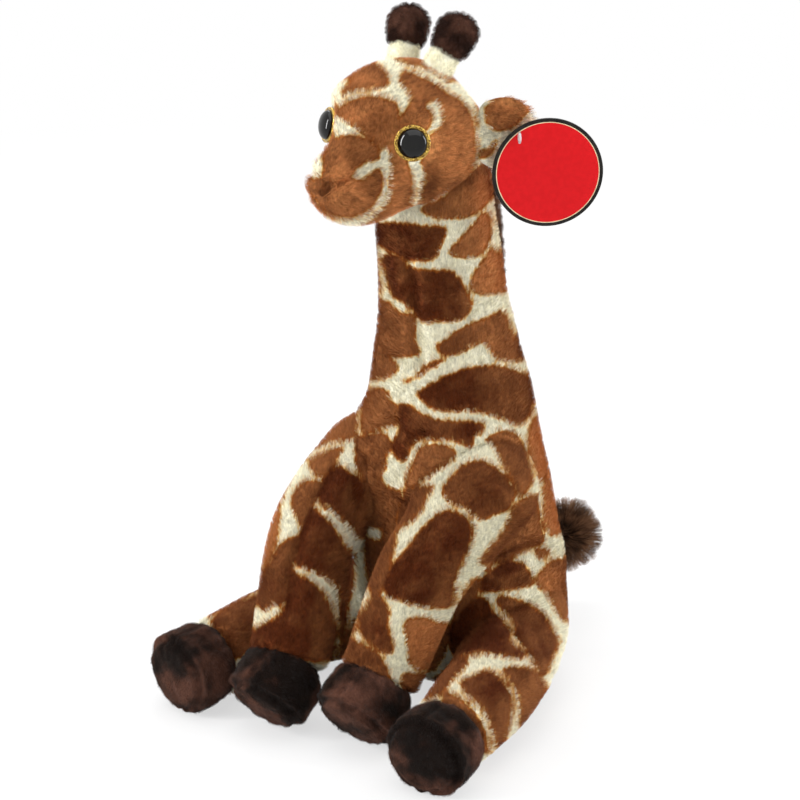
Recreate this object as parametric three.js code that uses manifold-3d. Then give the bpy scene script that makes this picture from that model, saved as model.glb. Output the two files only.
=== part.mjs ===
// A plush giraffe that sits upright with all four hooves in front of it.
// Millimetres, +Z up. The seat rests on the floor at the origin, the face looks toward -Y
// and the giraffe's own left side is toward +X.

import * as THREE from "three";
import { mergeVertices } from "three/addons/utils/BufferGeometryUtils.js";
import Module from "manifold-3d";

const wasm = await Module();
wasm.setup();

// Clearance between pieces that touch, seat or turn in one another.
const CLEARANCE = 0.3;

// Body: one stuffed tube from the seat to the top of the neck, cut in two at the neck joint.
const BODY_HEIGHT = 250;
const BODY_WIDTH = 96;
const BODY_DEPTH = 92;
const BODY_LEAN = 28;
const SEAT_ROUNDING = 34;
const NECK_TOP_ROUNDING = 14;
// Depth of the flats that the weight presses into the seat and the hooves.
const FLOOR_FLAT = 0.5;
// Each row holds the height, width, depth and lean, as shares of the four body sizes.
const bodyShares = [
  [0, 0.94, 0.94, 0],
  [0.12, 1, 1, 0.14],
  [0.2, 1, 1, 0.25],
  [0.34, 0.92, 0.93, 0.36],
  [0.43, 0.85, 0.87, 0.44],
  [0.556, 0.745, 0.775, 0.54],
  [0.628, 0.665, 0.695, 0.61],
  [0.724, 0.59, 0.61, 0.71],
  [0.852, 0.545, 0.57, 0.86],
  [1, 0.5, 0.52, 1],
];

// Neck joint: a ball at the neck's foot that turns in a cup in the shoulders.
const neckJointShare = 0.66;
const NECK_BALL_MARGIN = 3.5;

// Head: a skull that narrows into a rounded muzzle.
const HEAD_LENGTH = 89;
const HEAD_WIDTH = 62;
const HEAD_HEIGHT = 60;
const HEAD_DROP = 17;
const HEAD_OVERHANG = 18;
const HEAD_RISE = 10;
const HEAD_BACK_ROUNDING = 27;
const NOSE_ROUNDING = 16;
// Each row holds the length, width, height and drop, as shares of the four head sizes.
const headShares = [
  [0, 0.92, 0.9, 0],
  [0.28, 1, 0.99, -0.08],
  [0.44, 1, 1.06, -0.1],
  [0.55, 0.94, 1.04, 0.02],
  [0.64, 0.78, 0.97, 0.26],
  [0.76, 0.69, 0.79, 0.58],
  [0.9, 0.58, 0.61, 0.84],
  [1, 0.51, 0.53, 0.96],
];
const HEAD_BALL_RADIUS = 26.5;
const HEAD_BALL_FORWARD = 3;
const HEAD_BALL_SINK = 5;
const HEAD_TURN_DEG = 25;

// Mane: a low ridge of pile sewn along the back of the neck.
const MANE_WIDTH = 15;
const MANE_DEPTH = 6.5;
const MANE_ROUNDING = 6;
const maneFootShare = 0.7;
const maneTopShare = 0.95;

// Front legs: each hangs from a ball in the shoulder and reaches forward to the floor.
const SHOULDER_SPREAD = 72;
const shoulderShare = 0.415;
const SHOULDER_FORWARD = 18;
const SHOULDER_BALL_RADIUS = 21;
// How much lower the right shoulder hangs.
const SHOULDER_RIGHT_DROP = 4;
const FRONT_LEG_WIDTH = 40;
const FRONT_ANKLE_WIDTH = 35;
const FRONT_LEFT_KNEE_RISE = 6;
const FRONT_LEFT_KNEE_IN = 5;
const FRONT_RIGHT_KNEE_RISE = 15;
const FRONT_RIGHT_KNEE_OUT = 6;
const FRONT_LEFT_REACH = 95;
const FRONT_RIGHT_REACH = 107;
const FRONT_LEFT_OUT = 20;
const FRONT_RIGHT_OUT = 21;
const FRONT_HOOF_PITCH_DEG = 38;
// How much higher a hoof's middle lies where it stands on its tip.
const FRONT_HOOF_LIFT = 3.2;

// Hind legs: each lies along the floor from a ball in the hip.
const HIP_SPREAD = 69;
const HIP_HEIGHT = 26;
const HIP_FORWARD = 8;
const HIP_BALL_RADIUS = 22;
const HIND_LEG_WIDTH = 42;
const HIND_ANKLE_WIDTH = 35;
const HIND_LEFT_KNEE_RISE = 0;
const HIND_RIGHT_KNEE_RISE = -3;
const HIND_LEFT_KNEE_OUT = 4;
const HIND_RIGHT_KNEE_OUT = 11;
const HIND_LEFT_REACH = 106;
const HIND_RIGHT_REACH = 114;
const HIND_LEFT_OUT = 68.5;
const HIND_RIGHT_OUT = 64;
const HIND_HOOF_PITCH_DEG = 4;
const HIND_HOOF_OUT_DEG = 8;
const HIND_HOOF_LIFT = 0.6;
const kneeShare = 0.5;
const rootShare = 0.94;
const ANKLE_ROUNDING = 5;

// Hooves: dark rounded ends with a flat sole.
const HOOF_WIDTH = 40;
const HOOF_HEIGHT = 38;
const HOOF_LENGTH = 32;
const HOOF_ROUNDING = 13;
const HOOF_OVERLAP = 11;
const SOLE_ROUNDING = 8;
const hoofShares = [0.95, 1, 1, 0.97];

// Ears: leaf-shaped pads hinged at the sides of the skull.
const EAR_LENGTH = 22;
const EAR_WIDTH = 33;
const EAR_THICKNESS = 8;
const EAR_CUP = 1.5;
const EAR_DROOP = 2;
const EAR_SINK = 2.5;
const EAR_ROUNDING = 9;
const earPlaceShare = 0.18;
const EAR_PLACE_DEG = 3;
const EAR_SWEEP_DEG = 47;
const earShares = [0.7, 0.94, 1, 0.84, 0.55];

// Ossicones: cream stems with brown knobs on top of the skull.
const OSSICONE_STEM_LENGTH = 5;
const OSSICONE_STEM_WIDTH = 13.5;
const OSSICONE_TOP_WIDTH = 12.5;
const KNOB_WIDTH = 18.5;
const KNOB_HEIGHT = 18.5;
const ossiconePlaceShare = 0.28;
const OSSICONE_PLACE_DEG = 72;
const OSSICONE_OUT_DEG = 11;
const OSSICONE_BACK_DEG = 27;
const knobShares = [
  [0.84, 0.2],
  [0.98, 0.45],
  [0.96, 0.65],
  [0.76, 0.86],
  [0.42, 0.97],
];

// Eyes: a black dome over a gold disc, on a post held by a washer inside the head.
const PUPIL_WIDTH = 12.5;
const PUPIL_HEIGHT = 4;
const IRIS_WIDTH = 15.2;
const IRIS_THICKNESS = 1.4;
const EYE_SINK = 2.6;
const EYE_POST_WIDTH = 3.4;
const EYE_CLOTH = 3;
const WASHER_WIDTH = 12;
const WASHER_THICKNESS = 1.6;
const EYE_POST_END = 2;
const eyePlaceShare = 0.605;
const EYE_PLACE_DEG = 19;
const EYE_OUT_DEG = 31;
const EYE_UP_DEG = 12;

// Tail: a short stem with a full tuft.
const tailShare = 0.115;
const TAIL_BALL_RADIUS = 7;
const TAIL_SINK = 3;
const TAIL_STEM_WIDTH = 10;
const TAIL_STEM_LENGTH = 24;
const TAIL_RISE = 4;
const TUFT_WIDTH = 32;
const TUFT_LENGTH = 34;
const TUFT_OVERLAP = 6;
const TUFT_ROUNDING = 9;
const tuftShares = [0.6, 0.95, 1, 0.85, 0.6];

// Swing tag: a round card on a clear pin through the left ear.
const TAG_WIDTH = 47;
const TAG_THICKNESS = 1.2;
const TAG_HOLE_WIDTH = 3.2;
const TAG_HOLE_INSET = 3.2;
const TAG_HANG_DEG = 38;
const TAG_FACE_DEG = 45;
const PIN_WIDTH = 1.2;
const PIN_LOOP_WIDTH = 5;
const PIN_BAR_LENGTH = 8;
const pinPlaceShare = 0.64;

// Ranges of the joints in degrees, positive where a leg lifts.
const FRONT_LEG_LOWER_DEG = -3;
const FRONT_LEG_RAISE_DEG = 50;
const HIND_LEG_LOWER_DEG = -15;
const HIND_LEG_RAISE_DEG = 8;
const EAR_FLAP_DEG = 15;
const TAIL_WAG_DEG = 30;
const SWEEP_STEP_DEG = 9;

// Facets of the round and stuffed forms.
const BODY_SIDES = 28;
const LIMB_SIDES = 20;
const NECK_BALL_SIDES = 32;
const SMALL_SIDES = 16;
const ROUND_SIDES = 24;
const PIN_SIDES = 8;
const CARD_STEPS = 16;
const DOME_STEPS = 5;
const MANE_STEPS = 8;
// Points along a middle line from which its length is measured.
const CURVE_POINTS = 400;
// Rings in the start dome, in the plain part and in the end dome of each form.
const BODY_RINGS = [5, 12, 3];
const HEAD_RINGS = [6, 8, 4];
const LEG_RINGS = [1, 8, 1];
const HOOF_RINGS = [3, 3, 3];
const STEM_RINGS = [2, 3, 2];
const TUFT_RINGS = [3, 5, 3];
const MANE_RINGS = [3, 6, 3];
const EAR_RINGS = [2, 6, 3];
const SEAT_SQUARENESS = 2.5;
const SOLE_SQUARENESS = 2.6;
const SOFT_SQUARENESS = 2.1;
const ROUND_SQUARENESS = 2;

const SIDES = [1, -1];
const AXIS_X = new THREE.Vector3(1, 0, 0);
const AXIS_Y = new THREE.Vector3(0, 1, 0);
const AXIS_Z = new THREE.Vector3(0, 0, 1);
// A positive turn about this axis lifts what reaches forward.
const RAISE_AXIS = new THREE.Vector3(-1, 0, 0);
const radians = THREE.MathUtils.degToRad;

// A named piece.
function mesh(name, geometry, material) {
  const made = new THREE.Mesh(geometry, material);
  made.name = name;
  return made;
}

// Name of a piece on the giraffe's left or right side.
function sideName(name, side) {
  return `${name}_${side > 0 ? "left" : "right"}`;
}

// The geometry with one vertex at each corner.
function welded(geometry) {
  const bare = geometry.clone();
  bare.deleteAttribute("normal");
  bare.deleteAttribute("uv");
  return mergeVertices(bare);
}

// Closed solid of a geometry, ready to be joined or cut.
function solidOf(geometry) {
  const merged = welded(geometry);
  return new wasm.Manifold(
    new wasm.Mesh({
      numProp: 3,
      vertProperties: merged.attributes.position.array,
      triVerts: new Uint32Array(merged.index.array),
    }),
  );
}

// Geometry of a solid.
function geometryOf(solid) {
  const faces = solid.getMesh();
  const geometry = new THREE.BufferGeometry();
  geometry.setAttribute("position", new THREE.BufferAttribute(new Float32Array(faces.vertProperties), 3));
  geometry.setIndex(new THREE.BufferAttribute(new Uint32Array(faces.triVerts), 1));
  geometry.computeVertexNormals();
  return geometry;
}

// The geometry with every vertex moved out along its normal.
function grown(geometry, amount) {
  const merged = welded(geometry);
  merged.computeVertexNormals();
  const place = merged.attributes.position;
  const normal = merged.attributes.normal;
  for (let i = 0; i < place.count; i += 1) {
    place.setXYZ(
      i,
      place.getX(i) + amount * normal.getX(i),
      place.getY(i) + amount * normal.getY(i),
      place.getZ(i) + amount * normal.getZ(i),
    );
  }
  return merged;
}

// Width and depth at a parameter from 0 to 1, smooth through the rows.
function smoothColumns(rows) {
  const curve = new THREE.CatmullRomCurve3(
    rows.map((row) => new THREE.Vector3(row[0], row[1], 0)),
    false,
    "catmullrom",
  );
  return (t) => curve.getPoint(t);
}

// Roundness of an end: 0 at the pole, 1 where the rounding has ended.
function domeShare(distance, rounding, squareness) {
  if (distance >= rounding) return 1;
  const left = 1 - distance / rounding;
  return Math.pow(Math.max(0, 1 - Math.pow(left, squareness)), 1 / squareness);
}

// A stuffed form: oval sections along a spine, with domed ends that close at a pole.
// spine holds points, halves holds a half width and half depth at each of them, and across
// is the direction of the width. A cup bends each section along its depth.
function stuffedForm(options) {
  const { spine, halves, across, startDome, endDome, sides, rings } = options;
  const squareness = options.squareness ?? SOFT_SQUARENESS;
  const startSquareness = options.startSquareness ?? squareness;
  const endSquareness = options.endSquareness ?? squareness;
  const cup = options.cup ?? 0;
  const widest = Math.max(...halves.map(([width]) => width));
  const curve = new THREE.CatmullRomCurve3(spine, false, "centripetal");
  curve.arcLengthDivisions = CURVE_POINTS;
  const half = smoothColumns(halves);
  const length = curve.getLength();

  function frameAt(distance) {
    const t = curve.getUtoTmapping(Math.min(1, distance / length));
    const centre = curve.getPoint(t);
    const tangent = curve.getTangent(t);
    const side = across.clone().addScaledVector(tangent, -across.dot(tangent)).normalize();
    const depth = new THREE.Vector3().crossVectors(tangent, side);
    const size = half(t);
    const round = Math.min(
      domeShare(distance, startDome, startSquareness),
      domeShare(length - distance, endDome, endSquareness),
    );
    return { centre, side, depth, width: size.x * round, thick: size.y * round };
  }

  function pointAt(distance, angle) {
    const frame = frameAt(distance);
    const c = Math.cos(angle);
    const s = Math.sin(angle);
    const x = Math.sign(c) * Math.pow(Math.abs(c), 2 / squareness);
    const y = Math.sign(s) * Math.pow(Math.abs(s), 2 / squareness);
    const outward = (frame.width * x) / widest;
    return frame.centre
      .clone()
      .addScaledVector(frame.side, frame.width * x)
      .addScaledVector(frame.depth, frame.thick * y + cup * outward * outward);
  }

  const distances = [];
  const [startRings, plainRings, endRings] = rings;
  for (let i = 1; i <= startRings; i += 1) {
    distances.push(startDome * (1 - Math.cos((Math.PI / 2) * (i / startRings))));
  }
  const plain = length - startDome - endDome;
  for (let i = 1; i < plainRings; i += 1) {
    distances.push(startDome + plain * (i / plainRings));
  }
  for (let i = endRings; i >= 1; i -= 1) {
    distances.push(length - endDome * (1 - Math.cos((Math.PI / 2) * (i / endRings))));
  }

  const positions = [];
  const indices = [];
  for (const distance of distances) {
    for (let i = 0; i < sides; i += 1) {
      positions.push(...pointAt(distance, (2 * Math.PI * i) / sides).toArray());
    }
  }
  const startPole = positions.length / 3;
  positions.push(...pointAt(0, 0).toArray());
  const endPole = startPole + 1;
  positions.push(...pointAt(length, 0).toArray());
  const last = distances.length - 1;
  for (let i = 0; i < sides; i += 1) {
    const next = (i + 1) % sides;
    indices.push(startPole, next, i);
    indices.push(endPole, last * sides + i, last * sides + next);
    for (let ring = 0; ring < last; ring += 1) {
      const a = ring * sides + i;
      const b = ring * sides + next;
      indices.push(a, b, b + sides, a, b + sides, a + sides);
    }
  }
  const geometry = new THREE.BufferGeometry();
  geometry.setAttribute("position", new THREE.Float32BufferAttribute(positions, 3));
  geometry.setIndex(indices);
  geometry.computeVertexNormals();
  return { geometry, curve, length, frameAt, pointAt };
}

// A ball at a point.
function ballSolid(centre, radius, sides = LIMB_SIDES) {
  const ball = new THREE.SphereGeometry(radius, sides, sides / 2);
  ball.translate(centre.x, centre.y, centre.z);
  return solidOf(ball);
}

// The hollow in which a ball turns: even the middles of its facets stay clear of the ball.
function cupSolid(centre, ballRadius, sides = LIMB_SIDES) {
  const facet = Math.cos(Math.PI / sides) * Math.cos(Math.PI / sides);
  return ballSolid(centre, (ballRadius + CLEARANCE) / facet, sides);
}

// A cylinder about +Z between two heights.
function cylinderAlong(radius, foot, top) {
  const cylinder = new THREE.CylinderGeometry(radius, radius, top - foot, SMALL_SIDES);
  cylinder.rotateX(Math.PI / 2);
  cylinder.translate(0, 0, (foot + top) / 2);
  return cylinder;
}

// A slab that covers everything above or below a height near the body.
function slabSolid(fromHeight, toHeight) {
  const slab = new THREE.BoxGeometry(BODY_HEIGHT * 2, BODY_HEIGHT * 2, toHeight - fromHeight);
  slab.translate(0, 0, (fromHeight + toHeight) / 2);
  return solidOf(slab);
}

// The solid turned about an axis through a point.
function turned(solid, centre, axis, degrees) {
  const matrix = new THREE.Matrix4()
    .makeTranslation(centre.x, centre.y, centre.z)
    .multiply(new THREE.Matrix4().makeRotationAxis(axis, radians(degrees)))
    .multiply(new THREE.Matrix4().makeTranslation(-centre.x, -centre.y, -centre.z));
  return solid.transform(matrix.elements);
}

// The solid less all that a neighbour would reach while the solid turns through its range.
function clearedWhileTurning(solid, neighbour, joint) {
  const { centre, axis, from, to } = joint;
  const steps = Math.ceil((to - from) / SWEEP_STEP_DEG);
  let cleared = solid.subtract(neighbour);
  for (let i = 0; i <= steps; i += 1) {
    const degrees = from + ((to - from) * i) / steps;
    cleared = cleared.subtract(turned(neighbour, centre, axis, -degrees));
  }
  return largestPiece(cleared);
}

// The largest body of a solid, without the crumbs that a cut leaves.
function largestPiece(solid) {
  const pieces = solid.decompose();
  pieces.sort((a, b) => b.volume() - a.volume());
  return pieces[0];
}

// A revolved solid's geometry about +Z: profile rows hold a radius and a height.
function revolved(profile, sides) {
  const points = profile.map(([radius, height]) => new THREE.Vector2(radius, height));
  const lathe = new THREE.LatheGeometry(points, sides);
  lathe.rotateX(Math.PI / 2);
  return lathe;
}

// Placement that turns +Z onto a direction at a point.
function placement(point, direction) {
  const turn = new THREE.Quaternion().setFromUnitVectors(AXIS_Z, direction);
  return new THREE.Matrix4().compose(point, turn, new THREE.Vector3(1, 1, 1));
}

// A vector mirrored to the giraffe's right side when side is -1.
function mirrored(vector, side) {
  return new THREE.Vector3(vector.x * side, vector.y, vector.z);
}

// Materials.
const patchedPlush = () => new THREE.MeshStandardMaterial({ color: 0x8a4a24, roughness: 0.95, metalness: 0 });
const creamPlush = () => new THREE.MeshStandardMaterial({ color: 0xd8d0b4, roughness: 0.95, metalness: 0 });
const darkPlush = () => new THREE.MeshStandardMaterial({ color: 0x3a2820, roughness: 0.9, metalness: 0 });
const blackPlastic = () => new THREE.MeshStandardMaterial({ color: 0x0c0b0a, roughness: 0.08, metalness: 0 });
const goldGlitter = () => new THREE.MeshStandardMaterial({ color: 0xb08a3c, roughness: 0.35, metalness: 0.7 });
const whitePlastic = () => new THREE.MeshStandardMaterial({ color: 0xe6e4de, roughness: 0.5, metalness: 0 });
const redCard = () => new THREE.MeshStandardMaterial({ color: 0xd81a24, roughness: 0.35, metalness: 0 });
const clearPlastic = () => new THREE.MeshStandardMaterial({ color: 0xe8ecee, roughness: 0.15, metalness: 0 });

// Body outline.
const bodySpine = bodyShares.map(
  ([height, , , lean]) =>
    new THREE.Vector3(0, -BODY_LEAN * lean, -FLOOR_FLAT + (BODY_HEIGHT + FLOOR_FLAT) * height),
);
const bodyForm = stuffedForm({
  spine: bodySpine,
  halves: bodyShares.map(([, width, depth]) => [(BODY_WIDTH * width) / 2, (BODY_DEPTH * depth) / 2]),
  across: AXIS_X,
  startDome: SEAT_ROUNDING,
  endDome: NECK_TOP_ROUNDING,
  startSquareness: SEAT_SQUARENESS,
  sides: BODY_SIDES,
  rings: BODY_RINGS,
});
const bodyRoom = solidOf(grown(bodyForm.geometry, CLEARANCE));
const belowFloor = slabSolid(-BODY_HEIGHT, 0);

// Point of the body's middle line at a share of its length.
const bodyFrame = (share) => bodyForm.frameAt(bodyForm.length * share);

// Neck joint.
const neckFrame = bodyFrame(neckJointShare);
const neckJoint = neckFrame.centre;
const neckBallRadius = Math.max(neckFrame.width, neckFrame.thick) + NECK_BALL_MARGIN;

// Head outline, its back end above the neck's top.
const neckTop = bodyForm.curve.getPoint(1);
const headSpine = headShares.map(
  ([length, , , drop]) =>
    new THREE.Vector3(
      0,
      neckTop.y + HEAD_OVERHANG - HEAD_LENGTH * length,
      neckTop.z + HEAD_RISE - HEAD_DROP * drop,
    ),
);
const headForm = stuffedForm({
  spine: headSpine,
  halves: headShares.map(([, width, height]) => [(HEAD_WIDTH * width) / 2, (HEAD_HEIGHT * height) / 2]),
  across: AXIS_X,
  startDome: HEAD_BACK_ROUNDING,
  endDome: NOSE_ROUNDING,
  sides: BODY_SIDES,
  rings: HEAD_RINGS,
});
const headJoint = new THREE.Vector3(
  0,
  neckTop.y - HEAD_BALL_FORWARD,
  headSpine[0].z - HEAD_BALL_SINK,
);

// Middle of the ball from which a leg hangs on one side.
function legJoint(leg, side) {
  const joint = mirrored(leg.joint, side);
  joint.z -= side > 0 ? 0 : leg.rightDrop;
  return joint;
}

// Middle of a leg's hoof on one side.
function hoofPlace(leg, side) {
  const reach = side > 0 ? leg.leftReach : leg.rightReach;
  const out = side > 0 ? leg.leftOut : leg.rightOut;
  return new THREE.Vector3(out * side, -reach, HOOF_HEIGHT / 2 - FLOOR_FLAT + leg.hoofLift);
}

// Leg outline from the middle of its joint's ball to the ankle, which ends inside the hoof.
function legForm(leg, side) {
  const joint = legJoint(leg, side);
  const ankle = hoofPlace(leg, side).addScaledVector(mirrored(leg.heading, side), -HOOF_OVERLAP);
  const middle = joint.clone().lerp(ankle, kneeShare);
  middle.x += side > 0 ? leg.leftKneeOut : -leg.rightKneeOut;
  middle.z += side > 0 ? leg.leftKneeRise : leg.rightKneeRise;
  const rootWidth = leg.ballRadius * rootShare;
  return stuffedForm({
    spine: [joint, middle, ankle],
    halves: [
      [rootWidth, rootWidth],
      [leg.width / 2, leg.width / 2],
      [leg.ankleWidth / 2, leg.ankleWidth / 2],
    ],
    across: AXIS_X,
    startDome: ANKLE_ROUNDING,
    endDome: ANKLE_ROUNDING,
    squareness: ROUND_SQUARENESS,
    sides: LIMB_SIDES,
    rings: LEG_RINGS,
  });
}

// Hoof outline around the ankle, with its sole ahead.
function hoofForm(leg, side) {
  const middle = hoofPlace(leg, side);
  const heading = mirrored(leg.heading, side);
  const steps = hoofShares.length - 1;
  const spine = hoofShares.map((share, i) =>
    middle.clone().addScaledVector(heading, HOOF_LENGTH * (i / steps) - HOOF_LENGTH / 2),
  );
  return stuffedForm({
    spine,
    halves: hoofShares.map((share) => [(HOOF_WIDTH * share) / 2, (HOOF_HEIGHT * share) / 2]),
    across: AXIS_X,
    startDome: HOOF_ROUNDING,
    endDome: SOLE_ROUNDING,
    squareness: ROUND_SQUARENESS,
    endSquareness: SOLE_SQUARENESS,
    sides: LIMB_SIDES,
    rings: HOOF_RINGS,
  });
}

// Direction of a hoof that points ahead and dips by an angle.
function hoofHeading(pitchDeg, outDeg) {
  const pitch = radians(pitchDeg);
  const out = radians(outDeg);
  return new THREE.Vector3(
    Math.cos(pitch) * Math.sin(out),
    -Math.cos(pitch) * Math.cos(out),
    -Math.sin(pitch),
  );
}

const shoulderMiddle = bodyFrame(shoulderShare).centre;
const frontLeg = {
  name: "front",
  joint: new THREE.Vector3(SHOULDER_SPREAD / 2, shoulderMiddle.y - SHOULDER_FORWARD, shoulderMiddle.z),
  leftReach: FRONT_LEFT_REACH,
  rightReach: FRONT_RIGHT_REACH,
  leftOut: FRONT_LEFT_OUT,
  rightOut: FRONT_RIGHT_OUT,
  heading: hoofHeading(FRONT_HOOF_PITCH_DEG, 0),
  hoofLift: FRONT_HOOF_LIFT,
  ballRadius: SHOULDER_BALL_RADIUS,
  width: FRONT_LEG_WIDTH,
  ankleWidth: FRONT_ANKLE_WIDTH,
  leftKneeRise: FRONT_LEFT_KNEE_RISE,
  rightKneeRise: FRONT_RIGHT_KNEE_RISE,
  rightDrop: SHOULDER_RIGHT_DROP,
  leftKneeOut: -FRONT_LEFT_KNEE_IN,
  rightKneeOut: FRONT_RIGHT_KNEE_OUT,
  from: FRONT_LEG_LOWER_DEG,
  to: FRONT_LEG_RAISE_DEG,
};
const hindLeg = {
  name: "hind",
  joint: new THREE.Vector3(HIP_SPREAD / 2, -HIP_FORWARD, HIP_HEIGHT),
  leftReach: HIND_LEFT_REACH,
  rightReach: HIND_RIGHT_REACH,
  leftOut: HIND_LEFT_OUT,
  rightOut: HIND_RIGHT_OUT,
  heading: hoofHeading(HIND_HOOF_PITCH_DEG, HIND_HOOF_OUT_DEG),
  hoofLift: HIND_HOOF_LIFT,
  ballRadius: HIP_BALL_RADIUS,
  width: HIND_LEG_WIDTH,
  ankleWidth: HIND_ANKLE_WIDTH,
  leftKneeRise: HIND_LEFT_KNEE_RISE,
  rightKneeRise: HIND_RIGHT_KNEE_RISE,
  rightDrop: 0,
  leftKneeOut: HIND_LEFT_KNEE_OUT,
  rightKneeOut: HIND_RIGHT_KNEE_OUT,
  from: HIND_LEG_LOWER_DEG,
  to: HIND_LEG_RAISE_DEG,
};

// A leg and its hoof on one side.
function legMeshes(leg, side) {
  const joint = legJoint(leg, side);
  const hoof = hoofForm(leg, side);
  const turn = { centre: joint, axis: RAISE_AXIS, from: leg.from, to: leg.to };
  const limb = clearedWhileTurning(solidOf(legForm(leg, side).geometry), bodyRoom, turn)
    .add(ballSolid(joint, leg.ballRadius))
    .subtract(solidOf(grown(hoof.geometry, CLEARANCE)))
    .subtract(belowFloor);
  return [
    mesh(sideName(`${leg.name}_leg`, side), geometryOf(largestPiece(limb)), patchedPlush()),
    mesh(sideName(`${leg.name}_hoof`, side), geometryOf(solidOf(hoof.geometry).subtract(belowFloor)), darkPlush()),
  ];
}

// Tail: its ball sits in the lower back, and the stem rises into the tuft.
const tailSeat = bodyForm.pointAt(bodyForm.length * tailShare, Math.PI / 2);
const tailJoint = tailSeat.clone().addScaledVector(AXIS_Y, -TAIL_SINK);
const tailHeading = new THREE.Vector3(0, TAIL_STEM_LENGTH, TAIL_RISE).normalize();

function tailForm() {
  const tip = tailJoint.clone().addScaledVector(tailHeading, TAIL_STEM_LENGTH);
  const spine = [tailJoint, tip];
  return stuffedForm({
    spine,
    halves: spine.map(() => [TAIL_STEM_WIDTH / 2, TAIL_STEM_WIDTH / 2]),
    across: AXIS_X,
    startDome: TAIL_STEM_WIDTH / 2,
    endDome: TAIL_STEM_WIDTH / 2,
    squareness: ROUND_SQUARENESS,
    sides: SMALL_SIDES,
    rings: STEM_RINGS,
  });
}

function tuftForm() {
  const start = tailJoint.clone().addScaledVector(tailHeading, TAIL_STEM_LENGTH - TUFT_OVERLAP);
  const steps = tuftShares.length - 1;
  return stuffedForm({
    spine: tuftShares.map((share, i) => start.clone().addScaledVector(tailHeading, (TUFT_LENGTH * i) / steps)),
    halves: tuftShares.map((share) => [(TUFT_WIDTH * share) / 2, (TUFT_WIDTH * share) / 2]),
    across: AXIS_X,
    startDome: TUFT_ROUNDING,
    endDome: TUFT_ROUNDING,
    squareness: ROUND_SQUARENESS,
    sides: LIMB_SIDES,
    rings: TUFT_RINGS,
  });
}

function tailMeshes() {
  const tuft = tuftForm();
  const turn = { centre: tailJoint, axis: AXIS_Z, from: -TAIL_WAG_DEG, to: TAIL_WAG_DEG };
  const stem = clearedWhileTurning(solidOf(tailForm().geometry), bodyRoom, turn)
    .add(ballSolid(tailJoint, TAIL_BALL_RADIUS))
    .subtract(solidOf(grown(tuft.geometry, CLEARANCE)));
  return [
    mesh("tail_stem", geometryOf(largestPiece(stem)), darkPlush()),
    mesh("tail_tuft", tuft.geometry, darkPlush()),
  ];
}

// Torso: the body below the neck joint, with a cup for each ball that turns in it.
function torsoMesh() {
  let torso = solidOf(bodyForm.geometry)
    .subtract(slabSolid(neckJoint.z, BODY_HEIGHT + BODY_HEIGHT))
    .subtract(cupSolid(neckJoint, neckBallRadius, NECK_BALL_SIDES))
    .subtract(cupSolid(tailJoint, TAIL_BALL_RADIUS));
  for (const leg of [frontLeg, hindLeg]) {
    for (const side of SIDES) {
      torso = torso.subtract(cupSolid(legJoint(leg, side), leg.ballRadius));
    }
  }
  return mesh("torso", geometryOf(torso.subtract(belowFloor)), patchedPlush());
}

// Neck: the body above its joint, with a cup for the head's ball.
const headRoom = solidOf(grown(headForm.geometry, CLEARANCE));
const headTurn = { centre: headJoint, axis: AXIS_Z, from: -HEAD_TURN_DEG, to: HEAD_TURN_DEG };

function neckMesh() {
  const above = slabSolid(neckJoint.z, BODY_HEIGHT + BODY_HEIGHT);
  const neck = solidOf(bodyForm.geometry).intersect(above.add(ballSolid(neckJoint, neckBallRadius, NECK_BALL_SIDES)));
  const cleared = clearedWhileTurning(neck, headRoom, headTurn);
  return mesh("neck", geometryOf(cleared.subtract(cupSolid(headJoint, HEAD_BALL_RADIUS))), patchedPlush());
}

function maneMesh() {
  const spine = [];
  for (let i = 0; i <= MANE_STEPS; i += 1) {
    const share = maneFootShare + ((maneTopShare - maneFootShare) * i) / MANE_STEPS;
    spine.push(bodyForm.pointAt(bodyForm.length * share, Math.PI / 2));
  }
  const form = stuffedForm({
    spine,
    halves: spine.map(() => [MANE_WIDTH / 2, MANE_DEPTH]),
    across: AXIS_X,
    startDome: MANE_ROUNDING,
    endDome: MANE_ROUNDING,
    squareness: ROUND_SQUARENESS,
    sides: SMALL_SIDES,
    rings: MANE_RINGS,
  });
  const ridge = clearedWhileTurning(solidOf(form.geometry).subtract(bodyRoom), headRoom, headTurn);
  return mesh("mane", geometryOf(ridge), darkPlush());
}

// Place and direction of an eye on the head, facing out of the face.
function eyeMatrix(side) {
  const place = headForm.pointAt(headForm.length * eyePlaceShare, radians(EYE_PLACE_DEG));
  const out = new THREE.Vector3(
    Math.sin(radians(EYE_OUT_DEG)) * Math.cos(radians(EYE_UP_DEG)),
    -Math.cos(radians(EYE_OUT_DEG)) * Math.cos(radians(EYE_UP_DEG)),
    Math.sin(radians(EYE_UP_DEG)),
  );
  return placement(mirrored(place, side), mirrored(out, side));
}

// Heights along the eye's axis, from the surface of the head at zero.
const irisFoot = -EYE_SINK;
const irisTop = irisFoot + IRIS_THICKNESS;
const pupilFoot = irisTop + CLEARANCE;
const washerTop = irisFoot - EYE_CLOTH - CLEARANCE;
const washerFoot = washerTop - WASHER_THICKNESS;
const postFoot = washerFoot - EYE_POST_END;
const postRadius = EYE_POST_WIDTH / 2;

// A flat ring around +Z.
function ringProfile(inner, outer, foot, top) {
  return revolved([[inner, foot], [outer, foot], [outer, top], [inner, top], [inner, foot]], ROUND_SIDES);
}

// The black dome and its post as one turned piece.
function pupilGeometry() {
  const profile = [[0, postFoot], [postRadius, postFoot], [postRadius, pupilFoot]];
  for (let i = 0; i <= DOME_STEPS; i += 1) {
    const angle = (Math.PI / 2) * (i / DOME_STEPS);
    const radius = i === DOME_STEPS ? 0 : (PUPIL_WIDTH / 2) * Math.cos(angle);
    profile.push([radius, pupilFoot + PUPIL_HEIGHT * Math.sin(angle)]);
  }
  return revolved(profile, ROUND_SIDES);
}

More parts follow.
